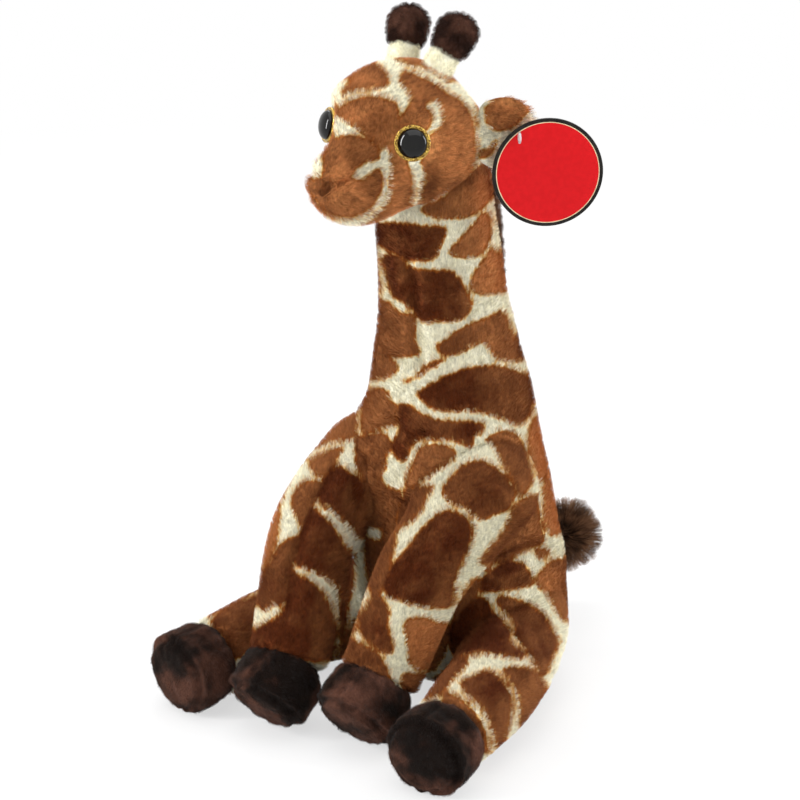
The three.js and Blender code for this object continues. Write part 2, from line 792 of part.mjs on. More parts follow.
// All that the head leaves open for an eye: the disc's seat, the post's bore and the washer's pocket.
function eyeRoom(side) {
  const seat = cylinderAlong(IRIS_WIDTH / 2 + CLEARANCE, irisFoot - CLEARANCE, IRIS_WIDTH);
  const bore = cylinderAlong(postRadius + CLEARANCE, postFoot - CLEARANCE, IRIS_WIDTH);
  const pocket = cylinderAlong(WASHER_WIDTH / 2 + CLEARANCE, washerFoot - CLEARANCE, washerTop + CLEARANCE);
  const room = solidOf(seat).add(solidOf(bore)).add(solidOf(pocket));
  return room.transform(eyeMatrix(side).elements);
}

function eyeGroup(side) {
  const group = new THREE.Group();
  group.applyMatrix4(eyeMatrix(side));
  group.add(
    mesh(sideName("eye_pupil", side), pupilGeometry(), blackPlastic()),
    mesh(
      sideName("eye_iris", side),
      ringProfile(postRadius + CLEARANCE, IRIS_WIDTH / 2, irisFoot, irisTop),
      goldGlitter(),
    ),
    mesh(
      sideName("eye_washer", side),
      ringProfile(postRadius + CLEARANCE, WASHER_WIDTH / 2, washerFoot, washerTop),
      whitePlastic(),
    ),
  );
  return group;
}

function headMesh() {
  let head = solidOf(headForm.geometry).add(ballSolid(headJoint, HEAD_BALL_RADIUS));
  for (const side of SIDES) {
    head = head.subtract(eyeRoom(side));
  }
  return mesh("head", geometryOf(head), patchedPlush());
}

// Ossicone axis: from the skull's top outward and back.
function ossiconeMatrix(side) {
  const place = headForm.pointAt(headForm.length * ossiconePlaceShare, radians(OSSICONE_PLACE_DEG));
  const axis = new THREE.Vector3(
    Math.sin(radians(OSSICONE_OUT_DEG)),
    Math.sin(radians(OSSICONE_BACK_DEG)),
    Math.cos(radians(OSSICONE_OUT_DEG)) * Math.cos(radians(OSSICONE_BACK_DEG)),
  ).normalize();
  return placement(mirrored(place, side), mirrored(axis, side));
}

function ossiconeMeshes(side) {
  const matrix = ossiconeMatrix(side);
  const stemTop = OSSICONE_STEM_LENGTH;
  const stem = revolved(
    [
      [0, -OSSICONE_STEM_WIDTH / 2],
      [OSSICONE_STEM_WIDTH / 2, -OSSICONE_STEM_WIDTH / 2],
      [OSSICONE_TOP_WIDTH / 2, stemTop],
      [0, stemTop],
    ],
    SMALL_SIDES,
  );
  const stemSolid = solidOf(stem).transform(matrix.elements).subtract(headRoom);
  const knobFoot = stemTop + CLEARANCE;
  const knob = revolved(
    [
      [0, knobFoot],
      [OSSICONE_TOP_WIDTH / 2, knobFoot],
      ...knobShares.map(([radius, height]) => [(KNOB_WIDTH / 2) * radius, knobFoot + KNOB_HEIGHT * height]),
      [0, knobFoot + KNOB_HEIGHT],
    ],
    SMALL_SIDES,
  );
  const knobMesh = mesh(sideName("ossicone_knob", side), knob, darkPlush());
  knobMesh.applyMatrix4(matrix);
  return [mesh(sideName("ossicone_stem", side), geometryOf(largestPiece(stemSolid)), creamPlush()), knobMesh];
}

// Ear hinge on the skull, and the direction in which the ear stands out.
const earPlace = headForm.pointAt(headForm.length * earPlaceShare, radians(EAR_PLACE_DEG));
const earHeading = new THREE.Vector3(Math.cos(radians(EAR_SWEEP_DEG)), Math.sin(radians(EAR_SWEEP_DEG)), 0);

function earForm(side) {
  const root = mirrored(earPlace, side);
  const heading = mirrored(earHeading, side);
  const steps = earShares.length - 1;
  const spine = earShares.map((share, i) => {
    const along = i / steps;
    const point = root.clone().addScaledVector(heading, (EAR_LENGTH + EAR_SINK) * along - EAR_SINK);
    point.z -= EAR_DROOP * along * along;
    return point;
  });
  return stuffedForm({
    spine,
    halves: earShares.map((share) => [(EAR_WIDTH * share) / 2, EAR_THICKNESS / 2]),
    across: AXIS_Z.clone().multiplyScalar(side),
    startDome: EAR_SINK,
    endDome: EAR_ROUNDING,
    squareness: ROUND_SQUARENESS,
    cup: EAR_CUP,
    sides: LIMB_SIDES,
    rings: EAR_RINGS,
  });
}

function earMesh(side) {
  const turn = { centre: mirrored(earPlace, side), axis: AXIS_Z, from: -EAR_FLAP_DEG, to: EAR_FLAP_DEG };
  let ear = clearedWhileTurning(solidOf(earForm(side).geometry), headRoom, turn);
  if (side > 0) {
    ear = ear.subtract(solidOf(grown(pinGeometry(), CLEARANCE)).transform(tagMatrix().elements));
  }
  return mesh(sideName("ear", side), geometryOf(largestPiece(ear)), patchedPlush());
}

// Swing tag. Its group's origin is the pin's axis in the middle of the ear, with +Z out of the card's face.
function tagMatrix() {
  const form = earForm(1);
  const frame = form.frameAt(form.length * pinPlaceShare);
  const face = new THREE.Vector3(Math.sin(radians(TAG_FACE_DEG)), -Math.cos(radians(TAG_FACE_DEG)), 0);
  const right = new THREE.Vector3().crossVectors(AXIS_Z, face);
  return new THREE.Matrix4().makeBasis(right, AXIS_Z, face).setPosition(frame.centre);
}

const tagFoot = EAR_THICKNESS / 2 + EAR_CUP;
const tagTop = tagFoot + TAG_THICKNESS;
const pinRadius = PIN_WIDTH / 2;

// The clear pin: a bar behind the ear, a shaft through ear and card, and a small loop in front.
function pinGeometry() {
  const barPlace = -EAR_THICKNESS / 2 - pinRadius;
  const loopPlace = tagTop + PIN_LOOP_WIDTH / 2;
  const shaft = cylinderAlong(pinRadius, barPlace, tagTop + pinRadius);
  const bar = new THREE.CylinderGeometry(pinRadius, pinRadius, PIN_BAR_LENGTH, PIN_SIDES);
  bar.translate(0, 0, barPlace);
  const loop = new THREE.TorusGeometry(PIN_LOOP_WIDTH / 2 - pinRadius, pinRadius, PIN_SIDES, SMALL_SIDES);
  loop.rotateY(Math.PI / 2);
  loop.translate(0, 0, loopPlace);
  return geometryOf(solidOf(shaft).add(solidOf(bar)).add(solidOf(loop)));
}

function tagGroup() {
  const centreDistance = TAG_WIDTH / 2 - TAG_HOLE_INSET;
  const hang = radians(TAG_HANG_DEG);
  const card = new THREE.Shape();
  card.absarc(
    centreDistance * Math.sin(hang),
    -centreDistance * Math.cos(hang),
    TAG_WIDTH / 2,
    0,
    Math.PI * 2,
  );
  const hole = new THREE.Path();
  hole.absarc(0, 0, TAG_HOLE_WIDTH / 2, 0, Math.PI * 2);
  card.holes.push(hole);
  const cardGeometry = new THREE.ExtrudeGeometry(card, {
    depth: TAG_THICKNESS,
    bevelEnabled: false,
    curveSegments: CARD_STEPS,
  });
  const tag = mesh("swing_tag", cardGeometry, redCard());
  tag.position.z = tagFoot;
  const group = new THREE.Group();
  group.applyMatrix4(tagMatrix());
  group.add(tag, mesh("tag_pin", pinGeometry(), clearPlastic()));
  return group;
}

// The whole toy.
function giraffe() {
  const toy = new THREE.Group();
  toy.add(torsoMesh(), neckMesh(), maneMesh(), headMesh(), ...tailMeshes(), tagGroup());
  for (const side of SIDES) {
    toy.add(earMesh(side), ...ossiconeMeshes(side), eyeGroup(side));
    toy.add(...legMeshes(frontLeg, side), ...legMeshes(hindLeg, side));
  }
  return toy;
}

export default giraffe();
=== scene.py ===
"""Looks of a seated plush giraffe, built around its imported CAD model.

Metres in the model's frame: +Z is up, the face looks toward -Y and the giraffe's left side is +X.
"""

from __future__ import annotations

import logging
import math
from dataclasses import dataclass, field
from enum import Enum

import bpy
import numpy as np
from mathutils import Matrix, Vector, noise
from mathutils.bvhtree import BVHTree
from mathutils.kdtree import KDTree


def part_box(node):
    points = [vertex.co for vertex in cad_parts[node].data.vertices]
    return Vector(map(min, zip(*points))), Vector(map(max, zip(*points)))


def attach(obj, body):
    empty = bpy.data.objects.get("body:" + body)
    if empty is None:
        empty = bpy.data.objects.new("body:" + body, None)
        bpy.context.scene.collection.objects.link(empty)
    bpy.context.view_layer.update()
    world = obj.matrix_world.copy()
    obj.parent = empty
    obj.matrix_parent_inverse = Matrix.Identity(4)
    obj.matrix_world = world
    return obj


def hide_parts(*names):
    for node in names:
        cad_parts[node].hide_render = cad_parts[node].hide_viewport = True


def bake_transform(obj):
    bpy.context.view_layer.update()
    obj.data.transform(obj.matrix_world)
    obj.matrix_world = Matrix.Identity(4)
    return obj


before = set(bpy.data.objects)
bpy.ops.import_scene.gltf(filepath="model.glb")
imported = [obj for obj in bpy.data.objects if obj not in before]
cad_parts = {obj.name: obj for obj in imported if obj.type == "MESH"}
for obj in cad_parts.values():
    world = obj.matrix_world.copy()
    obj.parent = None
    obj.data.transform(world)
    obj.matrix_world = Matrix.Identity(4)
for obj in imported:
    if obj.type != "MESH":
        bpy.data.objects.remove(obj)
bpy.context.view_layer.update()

LOG = logging.getLogger("plush_giraffe")
MM = 0.001
PRINT_MAP = "print"
COMB_MAP = "comb"
PRINT_SPAN = 40.0
COMB_SCALE = 10.0
FAR = 99.0
TINY = 1e-12
STRAND_CHILDREN = 24
Array = np.ndarray
Pair = tuple[float, float]
Triple = tuple[float, float, float]
Piece = bpy.types.Object
Material = bpy.types.Material
Tree = bpy.types.NodeTree
Node = bpy.types.Node
Socket = bpy.types.NodeSocket


class Side(Enum):
    """The giraffe's own left and right."""

    LEFT = 1
    RIGHT = -1

    @property
    def word(self) -> str:
        """Name of the side as the CAD nodes write it."""
        return "left" if self is Side.LEFT else "right"

    def mirror(self, point: Array) -> Array:
        """A point on the left side, taken to this side."""
        return np.array(point, float) * (self.value, 1.0, 1.0)


class LegKind(Enum):
    """The two pairs of legs."""

    FRONT = "front"
    HIND = "hind"


def smooth_step(low: float, high: float, value: Array) -> Array:
    """Smooth rise from 0 at low to 1 at high."""
    t = np.clip((value - low) / (high - low), 0.0, 1.0)
    return t * t * (3.0 - 2.0 * t)


def unit(vectors: Array) -> Array:
    """Vectors with length 1, along the last axis."""
    return vectors / np.maximum(np.linalg.norm(vectors, axis=-1, keepdims=True), TINY)


def wobble(points: Array, size: float, seed: float) -> Array:
    """Smooth noise from -1 to 1 at places in metres, with lumps of that size and a shift for each seed."""
    shift = Vector((seed * 7.3, seed * -3.1, seed * 5.9))
    return np.array([noise.noise(Vector(p) / size + shift) for p in points])


def linear(red: int, green: int, blue: int) -> tuple[float, float, float, float]:
    """A colour written as in a picture, turned into the shader's values."""
    shares = [x / 255.0 for x in (red, green, blue)]
    return tuple(x / 12.92 if x <= 0.04045 else ((x + 0.055) / 1.055) ** 2.4 for x in shares) + (1.0,)


def make_object(name: str, points: list | Array, faces: list, smooth: bool = True) -> Piece:
    """Makes a mesh object and links it to the scene.

    Args:
        name: name of the object and of its mesh.
        points: places of the corners.
        faces: corner numbers of each face.
        smooth: shades the faces as one round surface.

    Returns:
        The new object.
    """
    mesh = bpy.data.meshes.new(name)
    mesh.from_pydata([tuple(p) for p in points], [], faces)
    mesh.polygons.foreach_set("use_smooth", [smooth] * len(mesh.polygons))
    mesh.update()
    piece = bpy.data.objects.new(name, mesh)
    bpy.context.scene.collection.objects.link(piece)
    return piece


# Camera, light and floor


@dataclass(frozen=True)
class PhotoCamera:
    """The camera at the photograph's viewing angle."""

    azimuth: float = 40.0
    elevation: float = 20.0
    target: Triple = (0.0, -0.049, 0.142)
    distance: float = 1.3
    focal_pixels: float = 2990.0
    frame_pixels: float = 800.0
    sensor: float = 36.0
    clip: Pair = (0.05, 20.0)

    def axes(self) -> tuple[Vector, Vector, Vector]:
        """Directions of the picture's right and up, and back toward the camera.

        Returns:
            The three directions, each of length 1.
        """
        a, e = math.radians(self.azimuth), math.radians(self.elevation)
        right = Vector((math.cos(a), math.sin(a), 0.0))
        back = Vector((math.sin(a) * math.cos(e), -math.cos(a) * math.cos(e), math.sin(e)))
        return right, back.cross(right), back

    def place(self) -> Vector:
        """Where the camera stands."""
        return Vector(self.target) + self.axes()[2] * self.distance

    def ray(self, pixel: Pair) -> Vector:
        """Direction from the camera through a pixel of the photograph.

        Args:
            pixel: column and row of the photograph.

        Returns:
            A direction of length 1.
        """
        right, up, back = self.axes()
        half = self.frame_pixels / 2.0
        aside, above = (pixel[0] - half) / self.focal_pixels, (half - pixel[1]) / self.focal_pixels
        return (right * aside + up * above - back).normalized()

    def seen_at(self, points: Array) -> Array:
        """Pixels of the photograph at which places are seen.

        Args:
            points: places in metres.

        Returns:
            Column and row for each place.
        """
        right, up, back = (np.array(v) for v in self.axes())
        offset = points - np.array(self.place())
        scale = -self.focal_pixels / (offset @ back)
        half = self.frame_pixels / 2.0
        return np.column_stack([half + scale * (offset @ right), half - scale * (offset @ up)])

    def build(self) -> None:
        """Makes the camera and sets it as the scene's."""
        data = bpy.data.cameras.new("photo_camera")
        data.sensor_width = self.sensor
        data.lens = self.focal_pixels * self.sensor / self.frame_pixels
        data.clip_start, data.clip_end = self.clip
        camera = bpy.data.objects.new("photo_camera", data)
        right, up, back = self.axes()
        turn = Matrix((right, up, back)).transposed().to_4x4()
        camera.matrix_world = Matrix.Translation(self.place()) @ turn
        bpy.context.scene.collection.objects.link(camera)
        bpy.context.scene.camera = camera


CAMERA = PhotoCamera()


@dataclass(frozen=True)
class Softbox:
    """A soft lamp that looks at the toy."""

    name: str
    place: Triple
    width: float
    height: float
    watts: float
    aim: Triple = (0.0, -0.03, 0.15)

    def build(self) -> None:
        """Makes the lamp."""
        data = bpy.data.lights.new(self.name, "AREA")
        data.shape = "RECTANGLE"
        data.size, data.size_y, data.energy = self.width, self.height, self.watts
        lamp = bpy.data.objects.new(self.name, data)
        toward = Vector(self.aim) - Vector(self.place)
        lamp.location = self.place
        lamp.rotation_euler = toward.to_track_quat("-Z", "Y").to_euler()
        bpy.context.scene.collection.objects.link(lamp)


@dataclass
class Studio:
    """Pale floor, white surround and soft lamps."""

    floor_size: float = 6.0
    sky_strength: float = 0.58
    floor_grey: float = 0.86
    floor_roughness: float = 0.9
    glow_reach: Pair = (0.35, 1.0)
    glow_share: Pair = (0.62, 1.0)
    aim_height: float = 0.15
    lamps: list[Softbox] = field(default_factory=list)

    def around(self, azimuth: float, elevation: float, distance: float) -> Triple:
        """A place round the toy at a compass angle, a height angle and a distance.

        Args:
            azimuth: degrees from the front toward the giraffe's left.
            elevation: degrees above the aim.
            distance: metres from the aim.

        Returns:
            The place in metres.
        """
        a, e = math.radians(azimuth), math.radians(elevation)
        return (
            distance * math.sin(a) * math.cos(e),
            -distance * math.cos(a) * math.cos(e),
            self.aim_height + distance * math.sin(e),
        )

    def build(self) -> None:
        """Makes the floor, the world and the lamps."""
        self.lamps = [
            Softbox("left_softbox", self.around(-30.0, 20.0, 1.3), width=0.13, height=1.0, watts=14.0),
            Softbox("right_softbox", self.around(124.0, 20.0, 1.3), width=0.1, height=0.95, watts=11.0),
            Softbox("top_softbox", self.around(40.0, 84.0, 1.5), width=1.9, height=1.9, watts=16.0),
            Softbox("back_softbox", self.around(220.0, 40.0, 1.6), width=0.9, height=0.9, watts=6.0),
        ]
        for lamp in self.lamps:
            lamp.build()
        self.build_world()
        self.build_floor()

    def looked_at(self, shade: "Shade") -> Socket:
        """A mask that is 1 for rays that show the background: straight, mirrored or through glass.

        Args:
            shade: helper of the material or world that uses the mask.

        Returns:
            The mask.
        """
        path = shade.node("LightPath")
        mirrored = shade.maths("MAXIMUM", path.outputs["Is Camera Ray"], path.outputs["Is Glossy Ray"])
        return shade.maths("MAXIMUM", mirrored, path.outputs["Is Transmission Ray"])

    def build_world(self) -> None:
        """Plain soft light all round, which the camera sees as white."""
        world = bpy.data.worlds.new("white_surround")
        world.use_nodes = True
        shade, background = Shade(world.node_tree), world.node_tree.nodes["Background"]
        strength = shade.span(self.looked_at(shade), self.sky_strength, 1.0)
        shade.fill(background, {"Color": (1.0, 1.0, 1.0, 1.0), "Strength": strength})
        bpy.context.scene.world = world

    def build_floor(self) -> None:
        """A pale floor that keeps the toy's shadow and fades to white with distance."""
        half = self.floor_size / 2.0
        corners = [(-half, -half, 0.0), (half, -half, 0.0), (half, half, 0.0), (-half, half, 0.0)]
        floor = make_object("floor", corners, [(0, 1, 2, 3)], smooth=False)
        material, shade, shader = new_material("pale_floor")
        grey = (self.floor_grey, self.floor_grey, self.floor_grey, 1.0)
        shade.fill(shader, {"Base Color": grey, "Roughness": self.floor_roughness})
        reach = shade.node("VectorMath", operation="LENGTH")
        shade.link(shade.node("TexCoord").outputs["Object"], reach.inputs[0])
        white = shade.span(reach.outputs["Value"], *self.glow_share, *self.glow_reach)
        mix = shade.node("MixShader")
        shade.link(shade.maths("MULTIPLY", self.looked_at(shade), white), mix.inputs[0])
        shade.link(shader.outputs[0], mix.inputs[1])
        shade.link(shade.node("Emission").outputs[0], mix.inputs[2])
        shade.link(mix.outputs[0], material.node_tree.nodes["Material Output"].inputs["Surface"])
        floor.data.materials.append(material)


# Surfaces under work


def catmull(points: Array, t: float, centripetal: bool) -> Array:
    """Place on a smooth curve through points.

    Args:
        points: rows of the curve.
        t: from 0 at the first row to 1 at the last.
        centripetal: keeps the curve tight round uneven rows.

    Returns:
        The place at t.
    """
    last = len(points) - 1
    at = min(max(t, 0.0), 1.0) * last
    i = min(int(at), last - 1)
    w = at - i
    p1, p2 = points[i], points[i + 1]
    p0 = points[i - 1] if i > 0 else 2 * points[0] - points[1]
    p3 = points[i + 2] if i + 2 <= last else 2 * points[last] - points[last - 1]
    if centripetal:
        d0, d1, d2 = (max(np.linalg.norm(b - a) ** 0.5, 1e-4) for a, b in ((p0, p1), (p1, p2), (p2, p3)))
        m1 = ((p1 - p0) / d0 - (p2 - p0) / (d0 + d1) + (p2 - p1) / d1) * d1
        m2 = ((p2 - p1) / d1 - (p3 - p1) / (d1 + d2) + (p3 - p2) / d2) * d1
    else:
        m1, m2 = (p2 - p0) / 2.0, (p3 - p1) / 2.0
    return p1 + m1 * w + (3 * (p2 - p1) - 2 * m1 - m2) * w * w + (2 * (p1 - p2) + m1 + m2) * w**3


def segment_distance(points: Array, line: Array) -> Array:
    """Distance from each point to a line of straight pieces.

    Args:
        points: places.
        line: corners of the line, or one point.

    Returns:
        One distance for each point.
    """
    if len(line) == 1:
        return np.linalg.norm(points - line[0], axis=1)
    best = np.full(len(points), np.inf)
    for a, b in zip(line[:-1], line[1:]):
        d = b - a
        t = np.clip((points - a) @ d / max(float(d @ d), TINY), 0.0, 1.0)
        best = np.minimum(best, np.linalg.norm(points - a - t[:, None] * d, axis=1))
    return best


class Skin:
    """A closed surface under work: its points and faces."""

    def __init__(self, points: Array, faces: list[tuple[int, ...]]) -> None:
        """Keeps the surface's parts.

        Args:
            points: places in metres.
            faces: corners of each face, seen from outside against the clock.
        """
        self.points = points
        self.faces = faces
        corners = [(f[0], f[i], f[i + 1]) for f in faces for i in range(1, len(f) - 1)]
        self.triangles = np.array(corners)
        edges = {tuple(sorted((f[i], f[(i + 1) % len(f)]))) for f in faces for i in range(len(f))}
        self.edges = np.array(sorted(edges))

    def normals(self) -> Array:
        """Outward direction at each point.

        Returns:
            A direction of length 1 for each point.
        """
        a, b, c = (self.points[self.triangles[:, i]] for i in range(3))
        across = np.cross(b - a, c - a)
        total = np.zeros_like(self.points)
        for i in range(3):
            np.add.at(total, self.triangles[:, i], across)
        return unit(total)

    def move_out(self, amount: Array | float) -> None:
        """Moves the surface along its normals, by one amount or by one for each point."""
        self.points = self.points + self.normals() * np.reshape(amount, (-1, 1))

    def roughen(self, rise: float, size: float, seed: float) -> None:
        """Gives the surface soft lumps of a rise and a width in metres."""
        self.move_out(rise * wobble(self.points, size, seed))

    def swell(self, centre: Array, radius: float, amount: float) -> None:
        """Raises a soft hill of that radius and height at a point, or a hollow if the amount is negative."""
        away = np.linalg.norm(self.points - np.array(centre), axis=1)
        self.move_out(amount * np.exp(-((away / radius) ** 2)))

    def groove(self, line: Array, width: float, depth: float, puff: float = 0.35) -> None:
        """Presses a seam or crease into the surface, with a puff of cloth on both sides.

        Args:
            line: points that the groove follows.
            width: half width of the groove in metres.
            depth: depth at its middle in metres.
            puff: how high the cloth swells beside it, as a share of the depth.
        """
        away = segment_distance(self.points, line)
        low = np.exp(-((away / width) ** 2))
        puff_away, puff_width = 2.2 * width, 1.3 * width
        side = np.exp(-(((away - puff_away) / puff_width) ** 2))
        self.move_out(depth * (puff * side - low))

    def relax(self, rounds: int, share: float = 0.5) -> None:
        """Moves each point toward the middle of its neighbours, several times.

        Args:
            rounds: how many times.
            share: how far each point goes toward that middle.
        """
        count = np.bincount(self.edges.ravel(), minlength=len(self.points))[:, None]
        for _ in range(rounds):
            total = np.zeros_like(self.points)
            np.add.at(total, self.edges[:, 0], self.points[self.edges[:, 1]])
            np.add.at(total, self.edges[:, 1], self.points[self.edges[:, 0]])
            self.points = self.points + share * (total / np.maximum(count, 1) - self.points)

    def rest_on_floor(self) -> None:
        """Flattens what would reach below the floor."""
        self.points[:, 2] = np.maximum(self.points[:, 2], 0.0)

    def tree(self) -> BVHTree:
        """The surface as a search tree for rays."""
        return BVHTree.FromPolygons([Vector(p) for p in self.points], self.faces)

    def struck(self, pixels: list[Pair] | tuple[Pair, ...]) -> Array:
        """Places where rays from the camera through pixels meet the surface, or pass nearest to it.

        Args:
            pixels: columns and rows of the photograph.

        Returns:
            One place for each pixel.
        """
        tree, eye, found = self.tree(), CAMERA.place(), []
        for pixel in pixels:
            ray = CAMERA.ray(pixel)
            hit = tree.ray_cast(eye, ray)[0]
            if hit is None:
                offset = self.points - np.array(eye)
                distance = offset @ np.array(ray)
                miss = np.linalg.norm(offset - distance[:, None] * np.array(ray), axis=1)
                hit = Vector(self.points[int(np.argmin(miss))])
            found.append(hit)
        return np.array(found)

    def outside(self, other: "Skin", margin: float = 0.0) -> Array:
        """True for each point that lies outside another skin by at least a margin."""
        return other.height_over(self.points) > margin

    def height_over(self, places: Array) -> Array:
        """Signed distance of places from this surface, positive outside.

        Args:
            places: places in metres.

        Returns:
            One distance for each place.
        """
        tree, heights = self.tree(), []
        for place in places:
            nearest, normal, _, away = tree.find_nearest(Vector(place))
            heights.append(math.copysign(away, (Vector(place) - nearest).dot(normal)))
        return np.array(heights)

    def build(self, name: str) -> Piece:
        """Makes a smooth mesh object of the surface."""
        return make_object(name, self.points, self.faces)


def round_section(radii: list[float] | tuple[float, ...]) -> Array:
    """Half sizes in metres of round sections with those radii in millimetres."""
    return np.column_stack([radii, radii]) * MM


@dataclass
class Loft:
    """Oval sections along a spine, with domed ends, as the stuffed forms of the CAD have."""

    spine: Array
    halves: Array
    start_dome: float
    end_dome: float
    across: Triple = (1.0, 0.0, 0.0)
    sides: int = 48
    spacing: float = 2.0 * MM
    squareness: float = 2.0
    start_squareness: float = 2.0
    end_squareness: float = 2.0
    cup: float = 0.0
    measure_steps: int = 401
    tangent_step: float = 1e-3
    pole_density: float = 1.6

    def __post_init__(self) -> None:
        """Measures the spine."""
        self.spine = np.array(self.spine, float)
        self.halves = np.array(self.halves, float)
        self.steps = np.linspace(0.0, 1.0, self.measure_steps)
        places = np.array([catmull(self.spine, t, True) for t in self.steps])
        pieces = np.linalg.norm(np.diff(places, axis=0), axis=1)
        self.lengths = np.concatenate([[0.0], np.cumsum(pieces)])
        self.length = float(self.lengths[-1])

    def frame_at(self, distance: float) -> tuple[Array, Array, Array, float, float]:
        """Middle, side and depth directions, half width and half depth at a distance along the spine.

        Args:
            distance: metres from the spine's start.

        Returns:
            The three vectors and the two half sizes in metres.
        """
        t = float(np.interp(distance, self.lengths, self.steps))
        middle = catmull(self.spine, t, True)
        before, after = max(t - self.tangent_step, 0.0), min(t + self.tangent_step, 1.0)
        tangent = unit(catmull(self.spine, after, True) - catmull(self.spine, before, True))
        across = np.array(self.across)
        side = unit(across - tangent * (across @ tangent))
        width, depth = catmull(self.halves, t, False)
        dome = min(
            self.roundness(distance, self.start_dome, self.start_squareness),
            self.roundness(self.length - distance, self.end_dome, self.end_squareness),
        )
        return middle, side, np.cross(tangent, side), width * dome, depth * dome

    @staticmethod
    def roundness(distance: float, dome: float, squareness: float) -> float:
        """Size of the section inside a domed end, from 0 at its pole to 1.

        Args:
            distance: metres from the pole.
            dome: length of the domed end.
            squareness: 2 for a round end, more for a flatter one.

        Returns:
            The share of the full size.
        """
        if distance >= dome:
            return 1.0
        return max(0.0, 1.0 - (1.0 - distance / dome) ** squareness) ** (1.0 / squareness)

    def point_at(self, distance: float, angle: float) -> Array:
        """A point of the surface, by its distance along the spine and its angle round it.

        Args:
            distance: metres from the spine's start.
            angle: radians from the side toward the depth.

        Returns:
            The place in metres.
        """
        middle, side, deep, width, depth = self.frame_at(distance)
        x, y = self.section(np.array([angle]))
        bent = self.cup * (width * x[0] / self.halves[:, 0].max()) ** 2
        return middle + side * width * x[0] + deep * (depth * y[0] + bent)

    def section(self, angles: Array) -> tuple[Array, Array]:
        """Rounded square outline of a section, as shares of its half sizes.

        Args:
            angles: radians round the section.

        Returns:
            Shares of the half width and of the half depth.
        """
        c, s = np.cos(angles), np.sin(angles)
        power = 2.0 / self.squareness
        return np.sign(c) * np.abs(c) ** power, np.sign(s) * np.abs(s) ** power

    def skin(self) -> Skin:
        """The form as a fine surface.

        Returns:
            Rings along the spine, closed by a pole at each end.
        """
        stops = self.stops()
        angles = np.linspace(0.0, 2.0 * math.pi, self.sides, endpoint=False)
        x, y = self.section(angles)
        widest = self.halves[:, 0].max()
        points = []
        for stop in stops:
            middle, side, deep, width, depth = self.frame_at(stop)
            bent = self.cup * (width * x / widest) ** 2
            points.append(middle + np.outer(width * x, side) + np.outer(depth * y + bent, deep))
        points.append(np.array([self.point_at(0.0, 0.0), self.point_at(self.length, 0.0)]))
        first = len(stops) * self.sides
        last = first + 1
        faces: list[tuple[int, ...]] = []
        for i in range(self.sides):
            j = (i + 1) % self.sides
            faces.append((first, j, i))
            for ring in range(len(stops) - 1):
                a, b = ring * self.sides, (ring + 1) * self.sides
                faces.append((a + i, a + j, b + j, b + i))
            end = (len(stops) - 1) * self.sides
            faces.append((last, end + i, end + j))
        return Skin(np.concatenate(points), faces)

    def stops(self) -> list[float]:
        """Distances of the rings, closer together toward the poles.

        Returns:
            Distances in metres from the spine's start, in order.
        """
        stops: list[float] = []
        for dome, turned in ((self.start_dome, False), (self.end_dome, True)):
            count = max(3, int(self.pole_density * dome / self.spacing))
            ends = [dome * (1.0 - math.cos(math.pi / 2.0 * i / count)) for i in range(1, count + 1)]
            stops += [self.length - d for d in ends] if turned else ends
        middle = self.length - self.start_dome - self.end_dome
        count = max(1, int(middle / self.spacing))
        stops += [self.start_dome + middle * i / count for i in range(1, count)]
        return sorted(set(stops))


# Printed patches


@dataclass(frozen=True)
class Patch:
    """A brown patch: its outline in pixels of the photograph, and how light its pile is drawn, partly its own
    tone and partly painted sheen and shade.
    """

    outline: tuple[Pair, ...]
    # Partly the patch's own tone, partly painted sheen and painted shade.
    light: float = 0.0

    def rounded(self, turns: int = 4) -> Array:
        """The outline as a smooth closed curve.

        Args:
            turns: points on the curve for each point of the outline.

        Returns:
            The curve's pixels.
        """
        points = np.array(self.outline, float)
        rows = []
        for i in range(len(points)):
            p0, p1, p2, p3 = (points[(i + k - 1) % len(points)] for k in range(4))
            for w in np.arange(turns) / turns:
                bend = (2 * p0 - 5 * p1 + 4 * p2 - p3) * w * w + (3 * p1 - p0 - 3 * p2 + p3) * w**3
                rows.append(p1 + 0.5 * ((p2 - p0) * w + bend))
        return np.array(rows)

    def depth(self, pixels: Array) -> Array:
        """Distance in pixels from each pixel to the outline, positive inside it.

        Args:
            pixels: columns and rows of the photograph.

        Returns:
            One distance for each pixel.
        """
        outline = self.rounded()
        away = np.full(len(pixels), np.inf)
        crossed = np.zeros(len(pixels), int)
        for a, b in zip(outline, np.roll(outline, -1, axis=0)):
            d = b - a
            t = np.clip((pixels - a) @ d / max(float(d @ d), TINY), 0.0, 1.0)
            away = np.minimum(away, np.linalg.norm(pixels - a - t[:, None] * d, axis=1))
            spans = (a[1] > pixels[:, 1]) != (b[1] > pixels[:, 1])
            crossed += spans & (pixels[:, 0] < a[0] + (pixels[:, 1] - a[1]) * d[0] / (d[1] or TINY))
        return np.where(crossed % 2 == 1, away, -away)


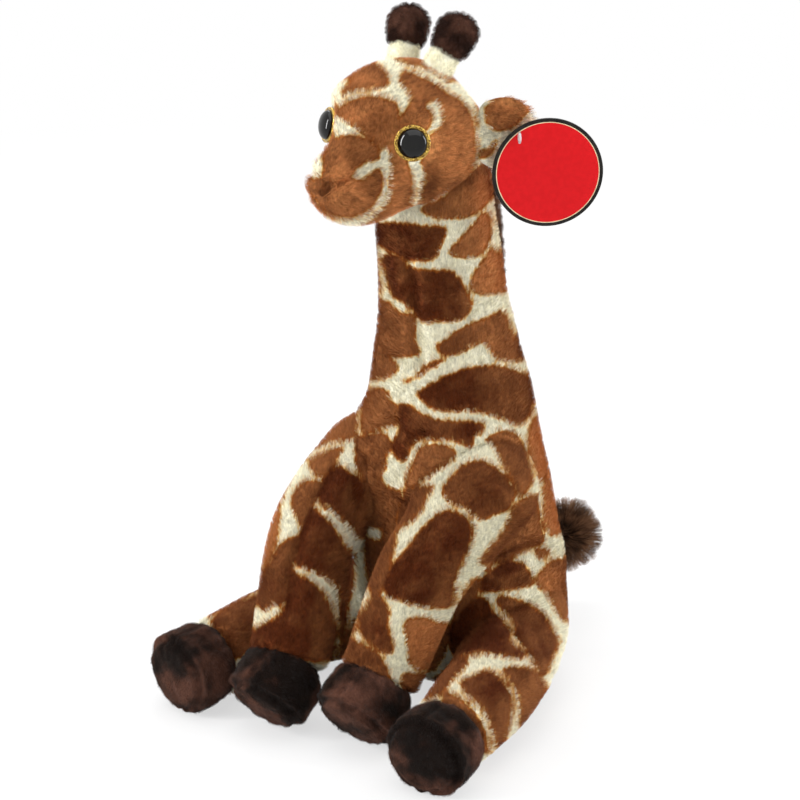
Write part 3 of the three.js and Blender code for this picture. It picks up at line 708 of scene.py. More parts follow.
@dataclass
class Print:
    """The giraffe print on one piece: the photograph's patches, and like ones where it shows none.

    Lengths are in millimetres. The lights are added to the tone, which runs from a dark patch at 0 to
    a light one at 1.
    """

    patches: tuple[Patch, ...]
    gap: float = 1.9
    spacing: float = 30.0
    tone: float = 0.3
    seed: int = 1
    swell: float = 0.2
    mottle: float = 0.1
    shown_facing: float = 0.1
    widest_cream: float = 7.0
    middle_light: float = 0.0
    pixels_per_mm: float = 2.35
    clear_share: float = 0.8
    stroke_shares: Pair = (0.1, 0.3)
    warp: float = 3.0
    warp_size: float = 13.0
    closing: float = 0.8
    hidden_light: float = 0.45
    far_light: float = 0.2
    fade: float = 3.0
    # Painted sheen: how much lighter the print is drawn where the surface faces the flanks.
    flank_light: float = 0.35
    flank_facing: float = 0.78
    broad_mottle: float = 0.08
    broad_size: float = 26.0
    mottle_size: float = 9.0
    middle_span: Pair = (0.5, 5.0)

    def hidden_strokes(self, points: Array, free: Array) -> list[Array]:
        """Middles of the patches on the sides that the photograph doesn't show, evenly spread.

        Args:
            points: the surface's points in millimetres.
            free: each point's distance from what the photograph shows, in millimetres.

        Returns:
            Short lines in millimetres.
        """
        rng = np.random.default_rng(self.seed)
        made = []
        for index in rng.permutation(len(points)):
            if free[index] < self.spacing * self.clear_share:
                continue
            lean = unit(rng.normal(size=3)) * self.spacing * rng.uniform(*self.stroke_shares)
            made.append(np.array([points[index] - lean, points[index] + lean]))
            free = np.minimum(free, segment_distance(points, made[-1]))
        return made

    def lay(self, piece: Piece, skin: Skin) -> None:
        """Writes the print's distance and tone into the piece's print map.

        Args:
            piece: the mesh object.
            skin: its surface.
        """
        points, normals = skin.points / MM, skin.normals()
        pixels = CAMERA.seen_at(skin.points)
        facing = normals @ np.array(CAMERA.axes()[2])
        depths = [patch.depth(pixels) / self.pixels_per_mm + self.swell for patch in self.patches]
        depths.append(np.full(len(points), -FAR))
        drawn = np.max(depths, axis=0)
        # Each patch's light carries its own tone and also painted sheen and shade: lighter where the patch
        # catches the light, darker where it lies in shade.
        light = np.array([patch.light for patch in self.patches] + [0.0])[np.argmax(depths, axis=0)]
        shown = (facing > self.shown_facing) & (drawn > -self.widest_cream)
        away, own = np.full(len(points), FAR), np.full(len(points), -FAR)
        if shown.any():
            rows = np.nonzero(shown)[0]
            near = KDTree(len(rows))
            for count, row in enumerate(rows):
                near.insert(points[row], count)
            near.balance()
            found = [near.find(p) for p in points]
            nearest = rows[[f[1] for f in found]]
            away = np.array([f[2] for f in found])
            own, light = drawn[nearest], light[nearest]
        drift = [wobble(skin.points, self.warp_size * MM, self.seed + i) for i in range(3)]
        warped = points + self.warp * np.column_stack(drift)
        cells = [segment_distance(warped, line) for line in self.hidden_strokes(points, away)]
        lights = np.random.default_rng(self.seed + 100).uniform(0.0, self.hidden_light, len(cells) + 1)
        cells.append(np.full(len(points), FAR))
        light = self.far_light + (light - self.far_light) * np.exp(-away / self.fade)
        light = np.where(away <= np.min(cells, axis=0), light, lights[np.argmin(cells, axis=0)])
        order = np.sort(np.array([away] + cells), axis=0)
        between = (order[1] - order[0]) / 2.0 - self.gap
        edge = np.where(away <= order[0], np.minimum(own + self.closing * away, between), between)
        edge = np.where(shown, drawn, edge)
        # Painted sheen: the print is drawn lighter where the surface faces the flanks, as the pile catches
        # the light from the side.
        side = self.flank_light * smooth_step(self.flank_facing, 1.0, np.abs(normals[:, 0]))
        tone = self.tone + light + side
        tone += self.broad_mottle * wobble(skin.points, self.broad_size * MM, self.seed + 5.0)
        tone += self.mottle * wobble(skin.points, self.mottle_size * MM, self.seed + 6.0)
        tone += self.middle_light * (smooth_step(*self.middle_span, edge) - 0.5)
        edge = np.clip(edge, -PRINT_SPAN / 2.0, PRINT_SPAN / 2.0)
        write_map(piece, PRINT_MAP, np.column_stack([0.5 + edge / PRINT_SPAN, np.clip(tone, 0.0, 1.0)]))


def write_map(piece: Piece, name: str, values: Array) -> None:
    """Writes two numbers for each vertex into a map of the mesh's corners.

    Args:
        piece: the mesh object.
        name: name of the map.
        values: two numbers for each vertex.
    """
    mesh = piece.data
    corners = np.zeros(len(mesh.loops), np.int32)
    mesh.loops.foreach_get("vertex_index", corners)
    layer = mesh.uv_layers.get(name) or mesh.uv_layers.new(name=name, do_init=False)
    layer.uv.foreach_set("vector", values[corners].astype(np.float32).ravel())


# Finishes


class Shade:
    """Short ways to add nodes to a tree."""

    def __init__(self, tree: Tree) -> None:
        """Keeps the tree that nodes are added to."""
        self.tree = tree

    def node(self, kind: str, **settings: object) -> Node:
        """Adds a node and sets its properties.

        Args:
            kind: the node's type after ShaderNode.
            settings: properties by name.

        Returns:
            The node.
        """
        made = self.tree.nodes.new("ShaderNode" + kind)
        for name, value in settings.items():
            setattr(made, name, value)
        return made

    def link(self, source: Socket, target: Socket) -> None:
        """Joins two sockets."""
        self.tree.links.new(source, target)

    def maths(self, operation: str, first: object, second: object) -> Socket:
        """A sum or the like of two sockets or numbers.

        Args:
            operation: the sum's name.
            first: socket or number.
            second: socket or number.

        Returns:
            The result's socket.
        """
        made = self.node("Math", operation=operation)
        for value, socket in zip((first, second), made.inputs):
            self.feed(value, socket)
        return made.outputs[0]

    def feed(self, value: object, socket: Socket) -> None:
        """Links a socket, or writes a number or colour.

        Args:
            value: socket, number or colour.
            socket: the socket that takes it.
        """
        if isinstance(value, Socket):
            self.link(value, socket)
        else:
            socket.default_value = value

    def fill(self, node: Node, values: dict[str, object]) -> None:
        """Feeds a node's inputs by their names."""
        for name, value in values.items():
            self.feed(value, node.inputs[name])

    def ramp(self, value: Socket, low: float, high: float) -> Socket:
        """Smooth rise from 0 to 1 between two values.

        Args:
            value: the value.
            low: where the rise starts.
            high: where it ends.

        Returns:
            The risen value.
        """
        made = self.node("MapRange", interpolation_type="SMOOTHSTEP")
        self.fill(made, {"Value": value, "From Min": low, "From Max": high})
        return made.outputs[0]

    def span(
        self, value: Socket, low: object, high: object, start: float = 0.0, end: float = 1.0
    ) -> Socket:
        """Takes a value evenly from one span to another.

        Args:
            value: the value.
            low: what comes out at the start.
            high: what comes out at the end.
            start: value at which the span starts.
            end: value at which it ends.

        Returns:
            The value in its new span.
        """
        made = self.node("MapRange")
        self.fill(made, {"Value": value, "From Min": start, "From Max": end, "To Min": low, "To Max": high})
        return made.outputs[0]

    def mix(self, share: object, first: object, second: object, blend: str = "MIX") -> Socket:
        """A blend of two colours.

        Args:
            share: share of the second colour.
            first: socket or colour.
            second: socket or colour.
            blend: the way of blending.

        Returns:
            The blended colour.
        """
        made = self.node("Mix", data_type="RGBA", blend_type=blend)
        self.feed(share, made.inputs["Factor"])
        self.feed(first, made.inputs["A"] if made.inputs["A"].type == "RGBA" else made.inputs[6])
        self.feed(second, made.inputs["B"] if made.inputs["B"].type == "RGBA" else made.inputs[7])
        return next(o for o in made.outputs if o.type == "RGBA")

    def dim(self, colour: Socket, level: Socket) -> Socket:
        """A colour times a value.

        Args:
            colour: the colour.
            level: what it is multiplied by.

        Returns:
            The changed colour.
        """
        grey = self.node("CombineXYZ")
        for socket in grey.inputs:
            self.link(level, socket)
        return self.mix(1.0, colour, grey.outputs[0], "MULTIPLY")

    def noise(self, scale: float, detail: float = 2.0, stretch: object = (1, 1, 1)) -> Socket:
        """Noise over the object, as a value round one half.

        Args:
            scale: lumps for each metre.
            detail: rounds of finer lumps.
            stretch: scale along each axis.

        Returns:
            The noise.
        """
        sized = self.node("Mapping")
        self.fill(sized, {"Vector": self.node("TexCoord").outputs["Object"], "Scale": stretch})
        made = self.node("TexNoise")
        self.fill(made, {"Vector": sized.outputs[0], "Scale": scale, "Detail": detail})
        return made.outputs[0]


def new_material(name: str) -> tuple[Material, Shade, Node]:
    """Makes a material.

    Args:
        name: the material's name.

    Returns:
        The material, a helper that adds nodes to it, and its Principled shader.
    """
    material = bpy.data.materials.new(name)
    material.use_nodes = True
    return material, Shade(material.node_tree), material.node_tree.nodes["Principled BSDF"]


class Groups:
    """Shader node groups that several finishes share, each built once."""

    made: dict[str, Tree] = {}
    tuft_scale = 620.0
    grain_scale = 850.0
    tone_scale = 120.0
    streak_scale = 1500.0
    brushed_scale = 70.0
    noise_span = (0.3, 0.7)
    halo_edge = (-0.95, -0.25)
    rim_edge = (-0.3, 0.2)
    patch_edge = (0.25, 1.2)
    # Partly random tone, partly painted sheen: how far the broad random areas lighten or darken a patch.
    tone_brush = 0.7
    streak_share = 0.6
    lift_share = 0.6
    streak_stretch = (1.0, 1.0, 0.35)
    roughness_span = (0.72, 0.98)

    @classmethod
    def start(cls, name: str, inputs: dict[str, str], outputs: dict[str, str]) -> tuple[Shade, dict, dict]:
        """Starts a group.

        Args:
            name: the group's name.
            inputs: socket names and kinds that go in.
            outputs: socket names and kinds that come out.

        Returns:
            The group's shade helper, its input sockets and its output sockets by name.
        """
        tree = bpy.data.node_groups.new(name, "ShaderNodeTree")
        for label, kind in inputs.items():
            tree.interface.new_socket(name=label, in_out="INPUT", socket_type="NodeSocket" + kind)
        for label, kind in outputs.items():
            tree.interface.new_socket(name=label, in_out="OUTPUT", socket_type="NodeSocket" + kind)
        entry, leave = tree.nodes.new("NodeGroupInput"), tree.nodes.new("NodeGroupOutput")
        cls.made[name] = tree
        return Shade(tree), {k: entry.outputs[k] for k in inputs}, {k: leave.inputs[k] for k in outputs}

    @classmethod
    def patch_print(cls) -> Tree:
        """Colour of the giraffe print, with fuzzy warm edges round each patch.

        Returns:
            The group.
        """
        if "patch_print" in cls.made:
            return cls.made["patch_print"]
        colours = {k: "Color" for k in ("Cream", "Halo", "Rim", "Patch", "Light Patch")}
        brush = {"Fuzz": "Float", "Grain": "Float", "Stretch": "Vector"}
        shade, into, out = cls.start("patch_print", {**colours, **brush}, {"Color": "Color"})
        layer = shade.node("UVMap", uv_map=PRINT_MAP)
        parts = shade.node("SeparateXYZ")
        shade.link(layer.outputs[0], parts.inputs[0])
        distance, tone = parts.outputs[0], parts.outputs[1]
        edge = shade.maths("MULTIPLY", shade.maths("SUBTRACT", distance, 0.5), PRINT_SPAN)
        tufts = shade.noise(cls.tuft_scale, 3.0, into["Stretch"])
        fuzz = shade.maths("MULTIPLY", shade.maths("SUBTRACT", tufts, 0.5), into["Fuzz"])
        edge = shade.maths("ADD", edge, fuzz)
        # Broad random areas where the patch is drawn lighter or darker: partly random tone, partly painted
        # sheen of the brushed pile.
        brushed = shade.maths("SUBTRACT", shade.noise(cls.tone_scale, 2.0), 0.5)
        tone = shade.maths("ADD", tone, shade.maths("MULTIPLY", brushed, cls.tone_brush))
        # The tone mixes the patch brown toward its lighter copy: partly the print's own tone, partly painted
        # sheen and shade.
        patch = shade.mix(tone, into["Patch"], into["Light Patch"])
        colour = shade.mix(shade.ramp(edge, *cls.halo_edge), into["Cream"], into["Halo"])
        colour = shade.mix(shade.ramp(edge, *cls.rim_edge), colour, into["Rim"])
        colour = shade.mix(shade.ramp(edge, *cls.patch_edge), colour, patch)
        low, high = shade.maths("SUBTRACT", 1.0, into["Grain"]), shade.maths("ADD", 1.0, into["Grain"])
        grain = shade.span(shade.noise(cls.grain_scale, 2.0, into["Stretch"]), low, high, *cls.noise_span)
        shade.link(shade.dim(colour, grain), out["Color"])
        return cls.made["patch_print"]

    @classmethod
    def pile_tone(cls) -> Tree:
        """Fine streaks and broad brushed areas of a pile, and the height of its tips.

        Returns:
            The group.
        """
        if "pile_tone" in cls.made:
            return cls.made["pile_tone"]
        inputs = {"Color": "Color", "Depth": "Float"}
        outputs = {"Color": "Color", "Roughness": "Float", "Height": "Float"}
        shade, into, out = cls.start("pile_tone", inputs, outputs)
        streaks = shade.noise(cls.streak_scale, 3.0, cls.streak_stretch)
        brushed = shade.noise(cls.brushed_scale, 3.0)
        fine = shade.maths("MULTIPLY", streaks, cls.streak_share)
        both = shade.maths("ADD", fine, shade.maths("MULTIPLY", brushed, 1.0 - cls.streak_share))
        low = shade.maths("SUBTRACT", 1.0, into["Depth"])
        high = shade.maths("ADD", 1.0, shade.maths("MULTIPLY", into["Depth"], cls.lift_share))
        shade.link(shade.dim(into["Color"], shade.span(both, low, high, *cls.noise_span)), out["Color"])
        shade.link(shade.span(brushed, *cls.roughness_span), out["Roughness"])
        shade.link(streaks, out["Height"])
        return cls.made["pile_tone"]


@dataclass(frozen=True)
class PileLook:
    """Numbers that plush finishes share."""

    depth: float = 0.3
    sheen: float = 0.0
    bump: float = 0.6
    # Painted shade deep in the pile at each strand's root, and painted light at its tip.
    root: float = 0.72
    tip: float = 1.28
    spread: float = 0.24
    shine: float = 0.1
    strand_roughness: float = 0.62
    brush_scale: float = 110.0
    brush_low: float = 0.35
    brush_high: float = 0.68
    bump_height: float = 0.6
    cloth_shine: float = 0.05
    sheen_roughness: float = 0.4
    sheen_tint: tuple = linear(150, 112, 92)


class PlushFinish:
    """A plush in two materials: the cloth and its standing pile."""

    def __init__(self, name: str, look: PileLook = PileLook()) -> None:
        """Keeps the finish's name and numbers.

        Args:
            name: the finish's name.
            look: numbers of the pile.
        """
        self.name = name
        self.look = look
        self.made: list[Material] = []

    def colour(self, shade: Shade) -> Socket:
        """The colour before the pile's own light and shade."""
        raise NotImplementedError

    def materials(self) -> list[Material]:
        """The cloth and the pile, built once.

        Returns:
            Both materials, cloth first.
        """
        if not self.made:
            self.made = [self.cloth(), self.pile()]
        return self.made

    def cloth(self) -> Material:
        """The surface under the pile, which carries the pile's look by itself too.

        Returns:
            The cloth's material.
        """
        material, shade, shader = new_material(f"{self.name}_cloth")
        tone = shade.node("Group", node_tree=Groups.pile_tone())
        shade.fill(tone, {"Depth": self.look.depth, "Color": self.colour(shade)})
        bump = shade.node("Bump")
        height = {"Strength": self.look.bump, "Distance": self.look.bump_height * MM}
        shade.fill(bump, {**height, "Height": tone.outputs["Height"]})
        surface = {
            "Base Color": tone.outputs["Color"],
            "Roughness": tone.outputs["Roughness"],
            "Normal": bump.outputs[0],
            "Sheen Weight": self.look.sheen,
            "Sheen Roughness": self.look.sheen_roughness,
            "Sheen Tint": self.look.sheen_tint,
            "Specular IOR Level": self.look.cloth_shine,
        }
        shade.fill(shader, surface)
        return material

    def pile(self) -> Material:
        """The strands: darker at the root as painted shade deep in the pile, lighter at the tip as painted
        light, and a little different one from another.

        Returns:
            The pile's material.
        """
        material, shade, shader = new_material(f"{self.name}_pile")
        strand = shade.node("HairInfo")
        # Painted shade at the root and painted light at the tip, along each strand.
        along = shade.span(strand.outputs["Intercept"], self.look.root, self.look.tip)
        own = shade.span(strand.outputs["Random"], 1.0 - self.look.spread, 1.0 + self.look.spread)
        level = shade.maths("MULTIPLY", along, own)
        shade.fill(shader, {"Base Color": shade.dim(self.colour(shade), level)})
        shade.fill(shader, {"Roughness": self.look.strand_roughness, "Specular IOR Level": self.look.shine})
        return material


@dataclass(frozen=True)
class Brush:
    """How the printed pile is brushed: its tufts' stretch, the reach of its edges and its streaks."""

    stretch: Triple = (1.0, 1.0, 0.32)
    fuzz: float = 3.2
    grain: float = 0.2


class PrintedPlush(PlushFinish):
    """Plush with the giraffe print."""

    def __init__(self, name: str, brush: Brush = Brush(), look: PileLook = PileLook()) -> None:
        """Keeps the finish's name, brush and pile numbers."""
        super().__init__(name, look)
        self.brush = brush

    def colour(self, shade: Shade) -> Socket:
        """The print's colours.

        Args:
            shade: helper of the material.

        Returns:
            The colour.
        """
        group = shade.node("Group", node_tree=Groups.patch_print())
        colours = {
            "Cream": linear(230, 226, 204),
            "Halo": linear(216, 180, 112),
            "Rim": linear(152, 84, 34),
            "Patch": linear(92, 44, 20),
            # The lighter copy of the patch brown, toward which the patches' own tone and painted sheen lift
            # the print.
            "Light Patch": linear(184, 121, 72),
        }
        shade.fill(group, colours)
        shade.fill(group, {"Fuzz": self.brush.fuzz, "Grain": self.brush.grain, "Stretch": self.brush.stretch})
        return group.outputs["Color"]


class PlainPlush(PlushFinish):
    """Plush of one colour with a brushed second tone."""

    def __init__(self, name: str, deep: tuple, pale: tuple, look: PileLook = PileLook()) -> None:
        """Keeps the two tones.

        Args:
            name: the finish's name.
            deep: darker tone.
            pale: lighter tone.
            look: numbers of the pile.
        """
        super().__init__(name, look)
        self.deep = deep
        self.pale = pale

    def colour(self, shade: Shade) -> Socket:
        """The two tones, brushed into each other.

        Args:
            shade: helper of the material.

        Returns:
            The colour.
        """
        brushed = shade.noise(self.look.brush_scale, 3.0)
        share = shade.ramp(brushed, self.look.brush_low, self.look.brush_high)
        return shade.mix(share, self.deep, self.pale)


@dataclass(frozen=True)
class Finishes:
    """Every finish of the toy."""

    printed: PrintedPlush = PrintedPlush("patched_plush")
    combed: PrintedPlush = PrintedPlush(
        "combed_plush", Brush((1.0, 0.3, 0.8), fuzz=2.0, grain=0.3), PileLook(root=0.66, tip=1.42, spread=0.3)
    )
    cream: PlainPlush = PlainPlush(
        "cream_plush", linear(238, 234, 208), linear(252, 250, 230), PileLook(root=0.85, tip=1.3)
    )
    knob: PlainPlush = PlainPlush("brown_plush", linear(38, 22, 16), linear(88, 58, 46))
    # Two tones brushed in at random: partly the crushed plush's own tone, partly painted highlight, the pale
    # tone standing in for light caught by the crushed pile.
    hoof: PlainPlush = PlainPlush(
        "dark_plush",
        linear(19, 12, 9),
        linear(82, 53, 42),
        PileLook(
            depth=0.4,
            sheen=0.35,
            spread=0.55,
            shine=0.2,
            strand_roughness=0.5,
            brush_scale=48.0,
            brush_low=0.42,
            brush_high=0.64,
        ),
    )
    long: PlainPlush = PlainPlush(
        "long_pile",
        linear(58, 40, 28),
        linear(118, 86, 62),
        PileLook(root=0.35, tip=1.9, spread=0.45, shine=0.2),
    )


FINISHES = Finishes()


@dataclass(frozen=True)
class Pile:
    """Strands that stand on a piece: sizes in millimetres, and shares of the strand's length."""

    length: float = 2.7
    lean: float = 0.68
    per_mm2: float = 4.0
    width: float = 0.17
    ruffle: float = 0.12
    clump: float = 0.5
    seed: int = 3
    clump_shape: float = 0.1
    tip_share: float = 0.25
    waver: float = 0.16
    tip_waver: float = 0.2
    keys: int = 4
    fewest: int = 40

    def comb(self, piece: Piece, direction: Array) -> None:
        """Writes the way that the pile is brushed into the comb map, face by face.

        Args:
            piece: the piece that wears the pile.
            direction: for each vertex, the way that the pile lies.
        """
        mesh = piece.data
        count = len(mesh.polygons)
        corners, starts = np.zeros(len(mesh.loops), np.int32), np.zeros(count, np.int32)
        totals, normals = np.zeros(count, np.int32), np.zeros(count * 3, np.float32)
        places = np.zeros(len(mesh.vertices) * 3, np.float32)
        mesh.loops.foreach_get("vertex_index", corners)
        mesh.polygons.foreach_get("loop_start", starts)
        mesh.polygons.foreach_get("loop_total", totals)
        mesh.polygons.foreach_get("normal", normals)
        mesh.vertices.foreach_get("co", places)
        places, normals = places.reshape(-1, 3), normals.reshape(-1, 3)
        face = np.repeat(np.arange(count), totals)
        first = corners[starts]
        along = direction[first] + 1e-6
        along = unit(along - normals * np.sum(along * normals, axis=1, keepdims=True))
        aside = np.cross(normals, along)
        offset = places[corners] - places[first][face]
        flat = np.column_stack([np.sum(offset * along[face], axis=1), np.sum(offset * aside[face], axis=1)])
        layer = mesh.uv_layers.new(name=COMB_MAP, do_init=False)
        layer.uv.foreach_set("vector", (flat * COMB_SCALE).astype(np.float32).ravel())
        mesh.uv_layers.active = layer
        layer.active_render = True

    def grow(self, piece: Piece, direction: Array, cover: Array | None = None) -> None:
        """Grows the strands on a piece.

        Args:
            piece: the piece, whose second material is its pile.
            direction: for each vertex, the way that the pile leans.
            cover: for each vertex, 1 where strands grow and 0 where they don't.
        """
        self.comb(piece, direction)
        area = sum(p.area for p in piece.data.polygons) / MM**2
        modifier = piece.modifiers.new("pile", "PARTICLE_SYSTEM")
        system = modifier.particle_system
        strands = system.settings
        strands.name = f"{piece.name}_pile"
        strands.type = "HAIR"
        strands.use_advanced_hair = True
        thin = 1.0
        strands.count = max(self.fewest, int(area * self.per_mm2 * thin / STRAND_CHILDREN))
        speed = self.length * MM / self.keys
        strands.normal_factor = speed * math.sqrt(1.0 - self.lean**2)
        strands.tangent_factor = speed * self.lean
        strands.tangent_phase = 0.5
        strands.brownian_factor = speed * self.ruffle
        strands.hair_step, strands.render_step, strands.display_step = self.keys, 3, 2
        strands.child_type = "INTERPOLATED"
        strands.rendered_child_count = STRAND_CHILDREN
        strands.child_percent = 1
        strands.clump_factor, strands.clump_shape = self.clump, self.clump_shape
        strands.root_radius, strands.tip_radius = 1.0, self.tip_share
        strands.radius_scale = self.width * MM / 2.0
        strands.roughness_2 = self.waver * self.length * MM
        strands.roughness_2_size = 1.0
        strands.roughness_endpoint = self.tip_waver * self.length * MM
        strands.child_length_threshold = 0.0
        strands.material = 2
        system.seed = self.seed
        if cover is not None:
            group = piece.vertex_groups.new(name="pile_cover")
            for value in np.unique(cover):
                where = [int(i) for i in np.nonzero(cover == value)[0]]
                group.add(where, float(value), "REPLACE")
            system.vertex_group_density = group.name


# Pieces


def flow(points: Array, main: Array, swirl: float, seed: float, size: float = 22.0) -> Array:
    """A brushed direction at each point that wanders round a main one, in bends of that many millimetres."""
    drift = np.column_stack([wobble(points, size * MM, seed + i) for i in range(3)])
    return unit(np.broadcast_to(main, points.shape)) + swirl * drift


def wear(piece: Piece, finish: PlushFinish) -> None:
    """Gives a piece a plush's two materials."""
    for material in finish.materials():
        piece.data.materials.append(material)


@dataclass
class Body:
    """Torso and neck: one stuffed skin from the seat to the top of the neck."""

    height: float = 250.0
    width: float = 96.0
    depth: float = 92.0
    lean: float = 28.0
    inset: float = 1.7
    joint_share: float = 0.66
    blend_reach: float = 24.0
    ring_heights: Pair = (212.0, 221.0)
    ring_radii: Pair = (32.0, 34.0)
    ring_middle: float = -24.0
    ring_arc: Pair = (3.6, 5.6)
    ring_width: float = 2.6
    ring_depth: float = 0.5
    unevenness: float = 0.5
    lump_size: float = 26.0
    shares: tuple = (
        (0, 0.94, 0.94, 0),
        (0.12, 1, 1, 0.14),
        (0.2, 1, 1, 0.25),
        (0.34, 0.92, 0.93, 0.36),
        (0.43, 0.85, 0.87, 0.44),
        (0.556, 0.745, 0.775, 0.54),
        (0.628, 0.665, 0.695, 0.61),
        (0.724, 0.59, 0.61, 0.71),
        (0.852, 0.545, 0.57, 0.86),
        (1, 0.5, 0.52, 1),
    )

    def __post_init__(self) -> None:
        """Makes the form and its skin."""
        rows = np.array(self.shares)
        self.loft = Loft(
            spine=np.column_stack([rows[:, 0] * 0.0, -self.lean * rows[:, 3], self.height * rows[:, 0]]) * MM,
            halves=rows[:, 1:3] * (self.width / 2.0 * MM, self.depth / 2.0 * MM),
            start_dome=34.0 * MM,
            end_dome=14.0 * MM,
            sides=160,
            spacing=1.7 * MM,
            squareness=2.1,
            start_squareness=2.5,
            end_squareness=2.1,
        )
        self.skin = self.loft.skin()
        self.skin.move_out(-self.inset * MM)

    def sculpt(self) -> None:
        """Presses the seams and folds that the photograph shows into the skin."""
        skin = self.skin
        for stroke, width, depth in BODY_FOLDS:
            skin.groove(skin.struck(stroke), width * MM, depth * MM)
        wide, deep = self.ring_radii
        angles = np.linspace(*self.ring_arc, 9)
        for height in self.ring_heights:
            ring = [(wide * math.cos(a), self.ring_middle + deep * math.sin(a), height) for a in angles]
            skin.groove(np.array(ring) * MM, self.ring_width * MM, self.ring_depth * MM)
        skin.roughen(self.unevenness * MM, self.lump_size * MM, seed=2.0)
        skin.relax(2)
        skin.rest_on_floor()

    def build(self) -> None:
        """Makes, dresses and places the piece."""
        piece = self.skin.build("body_skin")
        wear(piece, FINISHES.printed)
        BODY_PRINT.lay(piece, self.skin)
        upward = flow(self.skin.points, np.array([0.0, -0.15, 1.0]), swirl=0.35, seed=3.0)
        Pile(seed=11).grow(piece, upward, (self.skin.points[:, 2] > 1.2 * MM).astype(float))
        joint = self.loft.frame_at(self.loft.length * self.joint_share)[0]
        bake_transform(piece)
        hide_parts("torso", "neck")


@dataclass
class Head:
    """Head and muzzle."""

    length: float = 89.0
    width: float = 62.0
    height: float = 60.0
    drop: float = 17.0
    overhang: float = 18.0
    rise: float = 10.0
    inset: float = 1.7
    neck_top: Triple = (0.0, -28.0, 250.0)
    nose: Triple = (0.0, -100.0, 246.0)
    eye_depth: float = 14.0
    bald_rim: float = 1.2
    thin_rim: float = 3.0
    brow_out: float = 2.0
    brow_up: float = 10.0
    brow_radius: float = 9.0
    brow_rise: float = 1.2
    nostril_radius: float = 3.4
    nostril_depth: float = 3.6
    crown_radius: float = 13.0
    crown_depth: float = 4.0
    unevenness: float = 0.35
    lump_size: float = 16.0
    socket_floor: float = -1.2
    socket_slopes: Pair = (0.3, 0.42)
    socket_bend: float = 8.0
    socket_end: Pair = (20.0, 25.0)
    parting: float = 2.0
    parting_reach: float = 12.0
    eyes: list[Eye] = field(default_factory=list)
    shares: tuple = (
        (0, 0.92, 0.9, 0),
        (0.28, 1, 0.99, -0.08),
        (0.44, 1, 1.06, -0.1),
        (0.55, 0.94, 1.04, 0.02),
        (0.64, 0.78, 0.97, 0.26),
        (0.76, 0.69, 0.79, 0.58),
        (0.9, 0.58, 0.61, 0.84),
        (1, 0.51, 0.53, 0.96),
    )

    def __post_init__(self) -> None:
        """Makes the form and its skin."""
        rows = np.array(self.shares)
        back = self.neck_top[1] + self.overhang - self.length * rows[:, 0]
        up = self.neck_top[2] + self.rise - self.drop * rows[:, 3]
        self.loft = Loft(
            spine=np.column_stack([rows[:, 0] * 0.0, back, up]) * MM,
            halves=rows[:, 1:3] * (self.width / 2.0 * MM, self.height / 2.0 * MM),
            start_dome=27.0 * MM,
            end_dome=16.0 * MM,
            sides=132,
            spacing=1.3 * MM,
            squareness=2.1,
            start_squareness=2.1,
            end_squareness=2.1,
        )
        self.skin = self.loft.skin()
        self.skin.move_out(-self.inset * MM)

    def sculpt(self) -> None:
        """Shapes the brow, the nose and the mouth, and seats the eyes."""
        skin, other_side = self.skin, (-1.0, 1.0, 1.0)
        for eye in self.eyes:
            brow = eye.place + eye.out * self.brow_out * MM + np.array([0, 0, self.brow_up]) * MM
            skin.swell(brow, self.brow_radius * MM, self.brow_rise * MM)
        for stroke, width, depth in HEAD_FOLDS:
            line = skin.struck(stroke)
            skin.groove(line, width * MM, depth * MM)
            skin.groove(line * other_side, width * MM, depth * MM)
        skin.swell(skin.struck((NOSTRIL,))[0], self.nostril_radius * MM, -self.nostril_depth * MM)
        crown = skin.struck((CROWN,))[0]
        for middle in (crown, crown * other_side):
            skin.swell(middle, self.crown_radius * MM, -self.crown_depth * MM)
        skin.roughen(self.unevenness * MM, self.lump_size * MM, seed=4.0)
        skin.relax(2)
        for eye in self.eyes:
            self.seat(eye)
        skin.relax(1)

    def round_eye(self, eye: Eye) -> tuple[Array, Array, Array]:
        """Where the skin's points lie round an eye's axis.

        Args:
            eye: the eye.

        Returns:
            Each point's offset from the eye, its height over the disc and its distance from the axis.
        """
        offset = self.skin.points - eye.place
        height = offset @ eye.out
        return offset, height, np.linalg.norm(offset - height[:, None] * eye.out, axis=1)

    def seat(self, eye: Eye) -> None:
        """Hollows a socket in which an eye's disc lies free.

        Args:
            eye: the eye that is seated.
        """
        _, height, aside = self.round_eye(eye)
        start, end = self.socket_end
        inner, outer = self.socket_slopes
        beyond = np.maximum(aside / MM - eye.iris_width / 2.0, 0.0)
        limit = self.socket_floor + inner * np.minimum(beyond, self.socket_bend)
        limit = limit + outer * np.maximum(beyond - self.socket_bend, 0.0)
        limit += start * smooth_step(start, end, beyond)
        sunk = np.minimum(height, limit * MM) - height
        close = (beyond < end) & (height > -self.eye_depth * MM)
        self.skin.points = self.skin.points + np.where(close, sunk, 0.0)[:, None] * eye.out

    def build(self) -> None:
        """Makes, dresses and places the piece."""
        piece = self.skin.build("head_skin")
        wear(piece, FINISHES.combed)
        HEAD_PRINT.lay(piece, self.skin)
        from_nose = unit(self.skin.points - np.array(self.nose) * MM)
        back = flow(self.skin.points, from_nose, swirl=0.3, seed=8.0)
        cover = np.ones(len(self.skin.points))
        for eye in self.eyes:
            offset, height, aside = self.round_eye(eye)
            ahead = height > -self.eye_depth * MM
            cover[(aside < (eye.iris_width / 2.0 + self.thin_rim) * MM) & ahead] = 0.5
            cover[(aside < (eye.iris_width / 2.0 + self.bald_rim) * MM) & ahead] = 0.0
            close = np.exp(-((aside / (self.parting_reach * MM)) ** 2)) * ahead
            back = back + self.parting * close[:, None] * unit(offset - height[:, None] * eye.out)
        pile = Pile(length=2.8, lean=0.78, per_mm2=4.8, width=0.16, clump=0.38, seed=12)
        pile.grow(piece, back, cover)
        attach(piece, "head")
        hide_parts("head")


